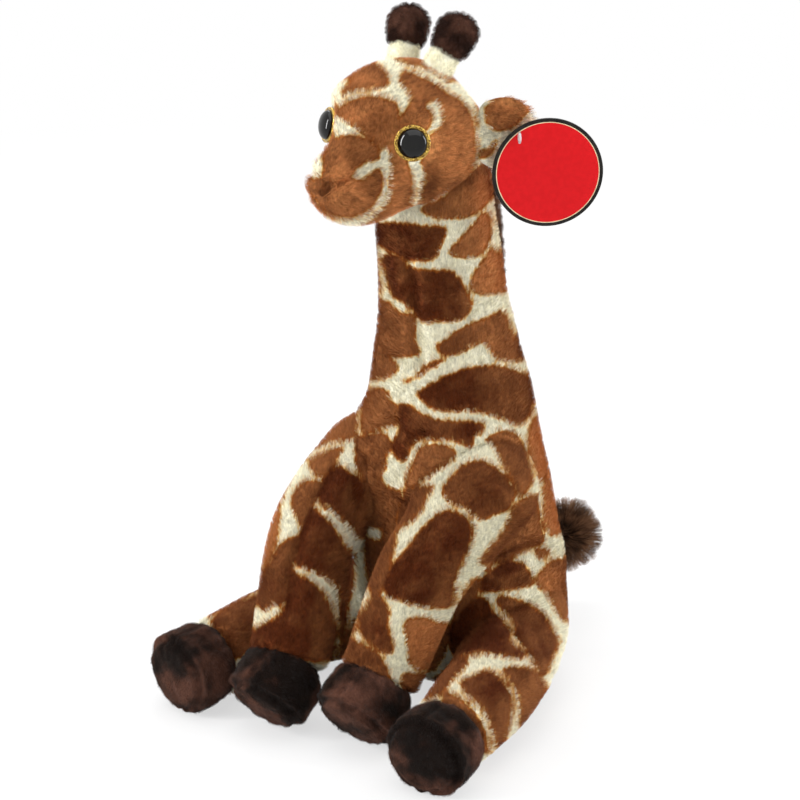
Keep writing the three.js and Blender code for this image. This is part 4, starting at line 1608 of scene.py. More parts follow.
@dataclass
class Eye:
    """A safety eye: a black dome over a gold glitter disc."""

    side: Side
    pupil_width: float = 12.5
    pupil_height: float = 3.3
    iris_width: float = 15.2
    sides: int = 64
    outward: float = 31.0
    upward: float = 12.0
    pole: float = 0.001
    dome_foot: float = -1.0
    dome_wall: float = 0.6
    disc_hole: float = 0.5
    disc_foot: float = -0.9
    disc_rim: tuple = ((-0.3, -0.9), (0.0, -0.5), (0.0, 0.5), (-0.25, 0.75), (-0.6, 0.72))
    disc_seat: float = 0.45
    disc_under: float = 0.3

    def __post_init__(self) -> None:
        """Takes the place that the CAD's own eye has, and works out where it looks."""
        low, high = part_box(f"eye_iris_{self.side.word}")
        self.place = np.array((low + high) / 2.0)
        out, up = math.radians(self.outward), math.radians(self.upward)
        facing = (math.sin(out) * math.cos(up), -math.cos(out) * math.cos(up), math.sin(up))
        self.out = self.side.mirror(np.array(facing))

    def turned(self, name: str, profile: list[Pair]) -> Piece:
        """A body turned about the eye's axis.

        Args:
            name: the piece's name.
            profile: rows of radius and height in millimetres, from the axis or a ring.

        Returns:
            The new mesh object.
        """
        turn = Vector((0.0, 0.0, 1.0)).rotation_difference(Vector(self.out)).to_matrix()
        points, faces = [], []
        for radius, height in profile:
            for i in range(self.sides):
                a = 2.0 * math.pi * i / self.sides
                local = Vector((radius * math.cos(a), radius * math.sin(a), height)) * MM
                points.append(tuple(Vector(self.place) + turn @ local))
        for row in range(len(profile) - 1):
            for i in range(self.sides):
                j = (i + 1) % self.sides
                a, b = row * self.sides, (row + 1) * self.sides
                faces.append((a + i, a + j, b + j, b + i))
        return make_object(name, points, faces)

    def build(self) -> None:
        """Makes the dome and the disc."""
        half = self.pupil_width / 2.0
        dome = [(self.pole, self.dome_foot), (half, self.dome_foot), (half, self.dome_wall)]
        dome += [
            (max(self.pole, half * math.cos(a)), self.dome_wall + self.pupil_height * math.sin(a))
            for a in np.linspace(0.06, math.pi / 2.0, 18)
        ]
        pupil = self.turned(f"eye_dome_{self.side.word}", dome)
        pupil.data.materials.append(EyeFinish.dome())
        ring = self.iris_width / 2.0
        disc = [(self.disc_hole, self.disc_foot)]
        disc += [(ring + step, height) for step, height in self.disc_rim]
        disc += [(half - self.disc_under, self.disc_seat), (self.disc_hole, self.disc_seat), disc[0]]
        iris = self.turned(f"eye_disc_{self.side.word}", disc)
        iris.data.materials.append(EyeFinish.glitter())
        for piece, node, slot in (
            (pupil, "eye_pupil", "black_plastic"),
            (iris, "eye_iris", "gold_glitter"),
        ):
            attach(piece, "head")
            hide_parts(f"{node}_{self.side.word}")


class EyeFinish:
    """Finishes of the safety eyes, each built once."""

    made: dict[str, Material] = {}

    @classmethod
    def dome(cls) -> Material:
        """Polished black plastic with faint moulding marks.

        Returns:
            The material.
        """
        if "dome" not in cls.made:
            material, shade, shader = new_material("black_dome")
            haze = shade.ramp(shade.noise(260.0, 3.0), 0.3, 0.8)
            black = shade.mix(haze, linear(3, 3, 2), linear(9, 8, 6))
            rough = shade.span(haze, 0.04, 0.09)
            shade.fill(shader, {"Base Color": black, "Roughness": rough, "Specular IOR Level": 0.3})
            cls.made["dome"] = material
        return cls.made["dome"]

    @classmethod
    def glitter(cls) -> Material:
        """Gold flakes under a clear coat.

        Returns:
            The material.
        """
        if "glitter" not in cls.made:
            material, shade, shader = new_material("gold_flakes")
            flakes = shade.node("TexVoronoi", feature="F1")
            shade.fill(flakes, {"Vector": shade.node("TexCoord").outputs["Object"], "Scale": 2600.0})
            parts = shade.node("SeparateXYZ")
            shade.link(flakes.outputs["Color"], parts.inputs[0])
            share = shade.ramp(parts.outputs[0], 0.2, 0.9)
            gold = shade.mix(share, linear(104, 66, 16), linear(246, 206, 92))
            bump = shade.node("Bump")
            shade.fill(bump, {"Strength": 0.9, "Distance": 0.15 * MM, "Height": parts.outputs[1]})
            shade.fill(shader, {"Base Color": gold, "Normal": bump.outputs[0]})
            shade.fill(shader, {"Metallic": 0.85, "Roughness": 0.3, "Coat Weight": 0.4})
            cls.made["glitter"] = material
        return cls.made["glitter"]


@dataclass
class Leg:
    """One leg's skin and its hoof."""

    kind: LegKind
    side: Side
    joint: Triple
    hoof: Triple
    pitch: float
    out: float
    ball: float
    width: float
    ankle: float
    knee_rise: float
    knee_out: float
    print_: Print
    merge: float
    inset: float = 1.6
    hoof_sizes: Triple = (40.0, 38.0, 32.0)
    hoof_shares: tuple[float, ...] = (0.95, 1.0, 1.0, 0.97)
    hoof_inset: float = 0.6
    ankle_back: float = 11.0
    join_reach: float = 22.0
    join_span: Pair = (-10.0, 8.0)
    blend_span: Pair = (-8.0, 26.0)
    root_share: float = 0.93
    root_dome_share: float = 0.95
    ankle_past: float = 4.0
    seam_start: float = 6.0
    seam_inset: float = 3.4
    ring_seam: Pair = (1.4, 2.4)
    side_seam: Pair = (1.2, 1.1)
    dents: Pair = (1.0, 9.0)
    bumps: Pair = (0.6, 15.0)
    creases: Pair = (0.2, 3.6)
    unevenness: float = 0.5
    lump_size: float = 20.0

    def __post_init__(self) -> None:
        """Makes the forms and skins of the leg and its hoof."""
        p, o = math.radians(self.pitch), math.radians(self.out)
        heading = np.array([math.cos(p) * math.sin(o), -math.cos(p) * math.cos(o), -math.sin(p)])
        self.heading = self.side.mirror(heading)
        self.start = np.array(self.joint) * MM
        self.middle = np.array(self.hoof) * MM
        ankle = self.middle - self.heading * self.ankle_back * MM
        bend = np.array([self.side.value * self.knee_out, 0.0, self.knee_rise])
        knee = (self.start + ankle) / 2.0 + bend * MM
        away = unit(self.start - knee)
        root = self.start + away * self.ball * self.root_share * MM
        loft = Loft(
            spine=[root, self.start, knee, ankle + self.heading * self.ankle_past * MM],
            halves=round_section([self.ball, self.ball, self.width / 2, self.ankle / 2]),
            start_dome=self.ball * self.root_dome_share * MM,
            end_dome=5.0 * MM,
            sides=84,
            spacing=1.6 * MM,
        )
        self.skin = loft.skin()
        self.skin.move_out(-self.inset * MM)
        wide, high, long = (x * MM for x in self.hoof_sizes)
        shares = np.array(self.hoof_shares)
        self.hoof_loft = Loft(
            spine=[self.middle + self.heading * long * (i / 3.0 - 0.5) for i in range(4)],
            halves=np.column_stack([shares * wide / 2.0, shares * high / 2.0]),
            start_dome=13.0 * MM,
            end_dome=8.0 * MM,
            end_squareness=2.6,
            sides=104,
            spacing=1.1 * MM,
        )
        self.hoof_skin = self.hoof_loft.skin()
        self.hoof_skin.move_out(-self.hoof_inset * MM)
        for pixel, radius, amount in LEG_SWELLS.get(self.label, ()):
            self.skin.swell(self.skin.struck((pixel,))[0], radius * MM, amount * MM)

    @property
    def label(self) -> str:
        """Body name of the leg."""
        return f"{self.kind.value}_leg_{self.side.word}"

    def fillet(self, skin: Skin, other: Skin) -> Array:
        """How far a skin rises beside another, so that the two flow together.

        Args:
            skin: the skin that rises.
            other: the skin beside it.

        Returns:
            For each point of the skin, its rise in metres.
        """
        size = self.merge * MM
        near = np.linalg.norm(skin.points - self.start, axis=1) < (self.ball + self.join_reach) * MM
        height = np.full(len(near), 1.0)
        height[near] = other.height_over(skin.points[near])
        low, high = self.join_span
        upper = smooth_step(low * MM, high * MM, skin.points[:, 2] - self.start[2])
        return np.maximum(size - np.abs(height), 0.0) ** 2 / size / 4.0 * upper

    def join(self, body: Body) -> None:
        """Raises a soft fillet where the leg grows out of the body, first on the leg, then on the body."""
        self.skin.move_out(self.fillet(self.skin, body.skin))
        body.skin.move_out(self.fillet(body.skin, self.skin))

    def sculpt(self) -> None:
        """Presses the folds into the leg."""
        for stroke, width, depth in LEG_FOLDS.get(self.label, ()):
            self.skin.groove(self.skin.struck(stroke), width * MM, depth * MM)
        self.skin.roughen(self.unevenness * MM, self.lump_size * MM, seed=6.0 + self.side.value)
        self.skin.relax(1)
        self.skin.rest_on_floor()

    def crush(self) -> None:
        """Presses the seams, dents and creases into the hoof."""
        hoof, loft = self.hoof_skin, self.hoof_loft
        rim = loft.length - self.seam_inset * MM
        ring = [loft.point_at(rim, a) for a in np.linspace(0.0, 2.0 * math.pi, 40)]
        width, depth = self.ring_seam
        hoof.groove(np.array(ring), width * MM, depth * MM)
        width, depth = self.side_seam
        for angle in (math.pi / 2.0, -math.pi / 2.0):
            seam = [loft.point_at(d, angle) for d in np.linspace(self.seam_start * MM, rim, 12)]
            hoof.groove(np.array(seam), width * MM, depth * MM)
        depth, size = self.dents
        dented = np.abs(wobble(hoof.points, size * MM, 9.0 + self.middle[0] * 50))
        hoof.move_out(-depth * MM * (1.0 - dented) ** 6)
        rise, size = self.bumps
        hoof.roughen(rise * MM, size * MM, seed=3.0 + self.middle[1] * 50)
        depth, size = self.creases
        crushed = np.abs(wobble(hoof.points, size * MM, 5.0 + self.middle[0] * 70))
        hoof.move_out(-depth * MM * (1.0 - crushed) ** 4)
        hoof.relax(1)
        hoof.rest_on_floor()

    def build(self, body: Body) -> None:
        """Makes, dresses and places the leg and the hoof.

        Args:
            body: the body that the leg grows out of.
        """
        piece = self.skin.build(f"{self.label}_skin")
        wear(piece, FINISHES.printed)
        self.print_.lay(piece, self.skin)
        ahead = unit(self.middle - self.start)
        cover = self.skin.outside(body.skin, -1.0 * MM) & self.skin.outside(self.hoof_skin, -1.5 * MM)
        cover &= self.skin.points[:, 2] > 1.0 * MM
        upward = flow(self.skin.points, -ahead, swirl=0.35, seed=5.0)
        Pile(seed=20 + len(self.label)).grow(piece, upward, cover.astype(float))
        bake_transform(piece)
        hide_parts(self.label)
        hoof = self.hoof_skin.build(f"{self.kind.value}_hoof_{self.side.word}_skin")
        wear(hoof, FINISHES.hoof)
        down = np.array([0.0, 0.0, -0.4])
        crushed = flow(self.hoof_skin.points, down, swirl=2.4, seed=2.0 + self.side.value, size=5.5)
        cover = (self.hoof_skin.points[:, 2] > 0.8 * MM).astype(float)
        short = Pile(length=1.2, lean=0.8, per_mm2=6.0, width=0.11, clump=0.2, seed=31)
        short.grow(hoof, crushed, cover)
        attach(hoof, self.label)
        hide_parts(f"{self.kind.value}_hoof_{self.side.word}")


@dataclass
class Ear:
    """A leaf-shaped ear, folded a little along its middle."""

    side: Side
    head: Head
    length: float = 22.0
    width: float = 33.0
    thickness: float = 6.5
    sweep: float = 47.0
    sunk: float = 5.5
    droop: float = 2.0
    cup: float = 3.0
    root_share: float = 0.18
    root_angle: float = 3.0
    shares: tuple[float, ...] = (0.7, 0.94, 1.0, 0.84, 0.55)
    fold: tuple[float, ...] = (2.0, 10.0, 18.0)
    fold_ahead: float = 2.0
    fold_width: float = 3.2
    fold_depth: float = 1.2
    inset: float = 1.0
    unevenness: float = 0.4
    lump_size: float = 8.0

    def __post_init__(self) -> None:
        """Makes the form, from the ear's root on the head."""
        angle = math.radians(self.sweep)
        loft = self.head.loft
        self.heading = self.side.mirror(np.array([math.cos(angle), math.sin(angle), 0.0]))
        self.front = self.side.mirror(np.array([math.sin(angle), -math.cos(angle), 0.0]))
        root = loft.point_at(loft.length * self.root_share, math.radians(self.root_angle))
        self.root = self.side.mirror(root)
        spine = []
        for i in range(len(self.shares)):
            share = i / (len(self.shares) - 1)
            point = self.root + self.heading * ((self.length + self.sunk) * share - self.sunk) * MM
            spine.append(point - np.array([0.0, 0.0, self.droop * share * share]) * MM)
        self.skin = Loft(
            spine=spine,
            halves=[(self.width / 2 * s * MM, self.thickness / 2 * MM) for s in self.shares],
            start_dome=3.0 * MM,
            end_dome=9.0 * MM,
            across=(0.0, 0.0, float(self.side.value)),
            sides=64,
            spacing=1.2 * MM,
            cup=self.cup * MM,
        ).skin()
        self.skin.move_out(-self.inset * MM)

    def build(self) -> None:
        """Makes, dresses and places the ear."""
        skin = self.skin
        ahead = self.front * self.fold_ahead * MM
        middle = [self.root + self.heading * d * MM + ahead for d in self.fold]
        skin.groove(np.array(middle), self.fold_width * MM, self.fold_depth * MM)
        skin.roughen(self.unevenness * MM, self.lump_size * MM, seed=5.0)
        skin.relax(1)
        piece = skin.build(f"ear_{self.side.word}_skin")
        wear(piece, FINISHES.combed)
        EAR_PRINTS[self.side].lay(piece, skin)
        outward = flow(skin.points, self.heading, swirl=0.3, seed=7.0)
        Pile(length=3.0, lean=0.78, clump=0.45, seed=41).grow(piece, outward)
        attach(piece, f"ear_{self.side.word}")
        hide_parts(f"ear_{self.side.word}")


@dataclass
class Ossicone:
    """A cream stem with a dark brown knob."""

    side: Side
    knob_above: float = 9.4
    knob_below: float = 9.6
    knob_radii: tuple = ((0.0, 5.6), (0.22, 7.4), (0.5, 8.3), (0.78, 8.1), (1.0, 7.0))
    stem_length: float = 16.0
    stem_in_knob: float = 2.0
    stem_radii: tuple[float, ...] = (6.6, 6.2, 5.9)
    unevenness: float = 0.3
    lump_size: float = 6.0

    def build(self) -> None:
        """Makes, dresses and places the stem and the knob, where the CAD has its own."""
        knob = sum(np.array(c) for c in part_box(f"ossicone_knob_{self.side.word}")) / 2.0
        stem = sum(np.array(c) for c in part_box(f"ossicone_stem_{self.side.word}")) / 2.0
        axis = unit(knob - stem)
        top = knob + axis * self.knob_above * MM
        foot = knob - axis * self.knob_below * MM
        low = foot - axis * self.stem_length * MM
        knob_form = Loft(
            spine=[foot + (top - foot) * share for share, _ in self.knob_radii],
            halves=round_section([radius for _, radius in self.knob_radii]),
            start_dome=3.0 * MM,
            end_dome=7.0 * MM,
            spacing=1.1 * MM,
        )
        stem_form = Loft(
            spine=[low, (low + foot) / 2.0, foot + axis * self.stem_in_knob * MM],
            halves=round_section(self.stem_radii),
            start_dome=2.0 * MM,
            end_dome=2.0 * MM,
            sides=40,
            spacing=1.2 * MM,
        )
        knob_pile = Pile(length=1.9, per_mm2=6.0, width=0.15, lean=0.5, seed=51)
        stem_pile = Pile(length=1.9, per_mm2=6.0, width=0.14, lean=0.6, seed=52)
        self.dress(knob_form.skin(), "ossicone_knob", FINISHES.knob, knob_pile, -axis)
        self.dress(stem_form.skin(), "ossicone_stem", FINISHES.cream, stem_pile, axis)

    def dress(self, skin: Skin, node: str, finish: PlushFinish, pile: Pile, way: Array) -> None:
        """Makes one plush piece of the ossicone.

        Args:
            skin: its surface.
            node: the CAD node's name without the side.
            finish: its plush.
            pile: its strands.
            way: the direction in which the pile leans.
        """
        skin.roughen(self.unevenness * MM, self.lump_size * MM, seed=2.0 + self.side.value)
        piece = skin.build(f"{node}_{self.side.word}_skin")
        wear(piece, finish)
        pile.grow(piece, flow(skin.points, way, swirl=0.4, seed=1.0))
        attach(piece, "head")
        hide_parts(f"{node}_{self.side.word}")


@dataclass
class Mane:
    """The low ridge of longer pile down the back of the neck."""

    body: Body
    span: Pair = (0.7, 0.95)
    half_widths: tuple[float, ...] = (5.5, 8.0, 9.5, 10.5, 11.0, 11.0, 10.5, 9.5, 8.0)
    half_depth: float = 3.4
    sunk: float = 0.8

    def build(self) -> None:
        """Makes, dresses and places the mane."""
        loft = self.body.loft
        stops = loft.length * np.linspace(*self.span, len(self.half_widths))
        inward = np.array([0.0, self.sunk, 0.0]) * MM
        skin = Loft(
            spine=[loft.point_at(stop, math.pi / 2.0) - inward for stop in stops],
            halves=[(wide * MM, self.half_depth * MM) for wide in self.half_widths],
            start_dome=5.0 * MM,
            end_dome=5.0 * MM,
            spacing=1.6 * MM,
            cup=-3.0 * MM,
        ).skin()
        piece = skin.build("mane_skin")
        wear(piece, FINISHES.long)
        cover = skin.outside(self.body.skin, 0.2 * MM).astype(float)
        downward = flow(skin.points, np.array([0.0, 0.3, -1.0]), swirl=0.5, seed=4.0)
        pile = Pile(length=6.0, lean=0.45, per_mm2=7.0, width=0.24, ruffle=0.25, clump=0.6, seed=61)
        pile.grow(piece, downward, cover)
        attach(piece, "neck")
        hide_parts("mane")


@dataclass
class Tail:
    """The tail's stem and its full tuft."""

    root_inset: float = 7.0
    root_drop: float = 0.5
    stem_radii: tuple[float, ...] = (4.6, 4.0, 4.0)
    tuft_length: float = 20.0
    tuft_radii: tuple = ((-0.5, 5.0), (-0.25, 7.5), (0.0, 8.5), (0.25, 7.5), (0.5, 5.0))

    def build(self) -> None:
        """Makes, dresses and places the stem and the tuft, where the CAD has its own."""
        low, high = (np.array(c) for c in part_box("tail_stem"))
        tuft = sum(np.array(c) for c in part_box("tail_tuft")) / 2.0
        middle = (low[2] + high[2]) / 2.0
        root = np.array([0.0, low[1] + self.root_inset * MM, middle - self.root_drop * MM])
        way = unit(tuft - root)
        stem = Loft(
            spine=[root, (root + tuft) / 2.0, tuft],
            halves=round_section(self.stem_radii),
            start_dome=3.0 * MM,
            end_dome=3.0 * MM,
            sides=36,
            spacing=1.4 * MM,
        ).skin()
        piece = stem.build("tail_stem_skin")
        wear(piece, FINISHES.long)
        combed = flow(stem.points, way, swirl=0.3, seed=2.0)
        Pile(length=2.6, per_mm2=5.0, lean=0.6, seed=71).grow(piece, combed)
        self.place(piece, "tail_stem")
        core = Loft(
            spine=[tuft + way * share * self.tuft_length * MM for share, _ in self.tuft_radii],
            halves=round_section([radius for _, radius in self.tuft_radii]),
            start_dome=5.0 * MM,
            end_dome=5.0 * MM,
            spacing=1.4 * MM,
        ).skin()
        piece = core.build("tail_tuft_skin")
        wear(piece, FINISHES.long)
        pile = Pile(length=9.5, per_mm2=7.0, lean=0.3, width=0.3, ruffle=0.2, clump=0.75, seed=72)
        pile.grow(piece, flow(core.points, way, swirl=0.4, seed=3.0))
        self.place(piece, "tail_tuft")

    def place(self, piece: Piece, node: str) -> None:
        """Joins a piece to the tail's body.

        Args:
            piece: the mesh object.
            node: the CAD node that it stands for.
        """
        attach(piece, "tail")
        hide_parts(node)


@dataclass
class SwingTag:
    """A plain round card with a dark edge, on its clear pin."""

    radius: float = 23.5
    thickness: float = 1.2
    edge: float = 1.5
    line: float = 0.35
    bevel: float = 0.15
    bow: float = 0.0009
    pole: float = 0.02
    sides: int = 160

    def profile(self) -> list[tuple[float, float, int]]:
        """Rows of the card from the middle of its back to the middle of its front.

        Returns:
            Radius and height in millimetres, and the card's material from this row to the next.
        """
        half, rim, inner = self.thickness / 2.0, self.radius - self.bevel, self.radius - self.edge
        back = [(0.0, -half, 0), (rim, -half, 2), (self.radius, -half + self.bevel, 2)]
        front = [(self.radius, half - self.bevel, 2), (rim, half, 2), (inner, half, 1)]
        return back + front + [(inner - self.line, half, 0), (0.0, half, 0)]

    def build(self) -> None:
        """Makes the card and gives the pin its plastic."""
        low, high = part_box("swing_tag")
        middle = np.array((low + high) / 2.0)
        face = unit(np.array([1.0, -1.0, 0.0]))
        aside = unit(np.array([1.0, 1.0, 0.0]))
        up = np.array([0.0, 0.0, 1.0])
        rows, sides = self.profile(), self.sides
        points, faces, kinds = [], [], []
        for radius, height, _ in rows:
            out = max(radius, self.pole)
            for i in range(sides):
                a = 2.0 * math.pi * i / sides
                bow = self.bow * (radius * math.cos(a)) ** 2
                flat = aside * out * math.cos(a) + up * out * math.sin(a)
                points.append(middle + (flat + face * (height + bow)) * MM)
        for row in range(len(rows) - 1):
            a, b = row * sides, (row + 1) * sides
            for i in range(sides):
                j = (i + 1) % sides
                faces.append((a + i, a + j, b + j, b + i))
                kinds.append(rows[row][2])
        piece = make_object("swing_tag_card", points, faces, smooth=False)
        mesh = piece.data
        mesh.polygons.foreach_set("material_index", kinds)
        mesh.update()
        for name, deep, pale in (
            ("red_card", linear(206, 12, 20), linear(214, 16, 24)),
            ("pale_line", linear(214, 190, 150), linear(236, 218, 180)),
            ("dark_edge", linear(20, 18, 16), linear(40, 36, 32)),
        ):
            mesh.materials.append(self.card(name, deep, pale))
        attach(piece, "swing_tag")
        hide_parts("swing_tag")
        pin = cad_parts["tag_pin"]
        pin.data.materials.clear()
        pin.data.materials.append(self.clear_plastic())

    def card(self, name: str, deep: tuple, pale: tuple) -> Material:
        """Coated card in one colour with a faint mottle.

        Args:
            name: the material's name.
            deep: darker tone.
            pale: lighter tone.

        Returns:
            The material.
        """
        material, shade, shader = new_material(name)
        mottle = shade.ramp(shade.noise(420.0, 4.0), 0.3, 0.7)
        card = shade.mix(mottle, deep, pale)
        rough = shade.span(mottle, 0.4, 0.46)
        shade.fill(shader, {"Base Color": card, "Roughness": rough, "Specular IOR Level": 0.15})
        return material

    def clear_plastic(self) -> Material:
        """Clear nylon with a faint haze.

        Returns:
            The material.
        """
        material, shade, shader = new_material("clear_nylon")
        haze = shade.ramp(shade.noise(500.0, 2.0), 0.3, 0.7)
        clear = shade.mix(haze, linear(225, 228, 230), linear(245, 246, 248))
        shade.fill(shader, {"Base Color": clear, "Roughness": 0.15, "Transmission Weight": 0.6})
        return material


class Washers:
    """The hidden washers behind the eyes, which are the CAD's own."""

    def build(self) -> None:
        """Gives both washers their moulded plastic."""
        material, shade, shader = new_material("white_washer")
        mottle = shade.ramp(shade.noise(300.0, 2.0), 0.3, 0.7)
        white = shade.mix(mottle, linear(222, 220, 214), linear(236, 234, 230))
        shade.fill(shader, {"Base Color": white, "Roughness": 0.5})
        for side in Side:
            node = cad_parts[f"eye_washer_{side.word}"]
            node.data.materials.clear()
            node.data.materials.append(material)
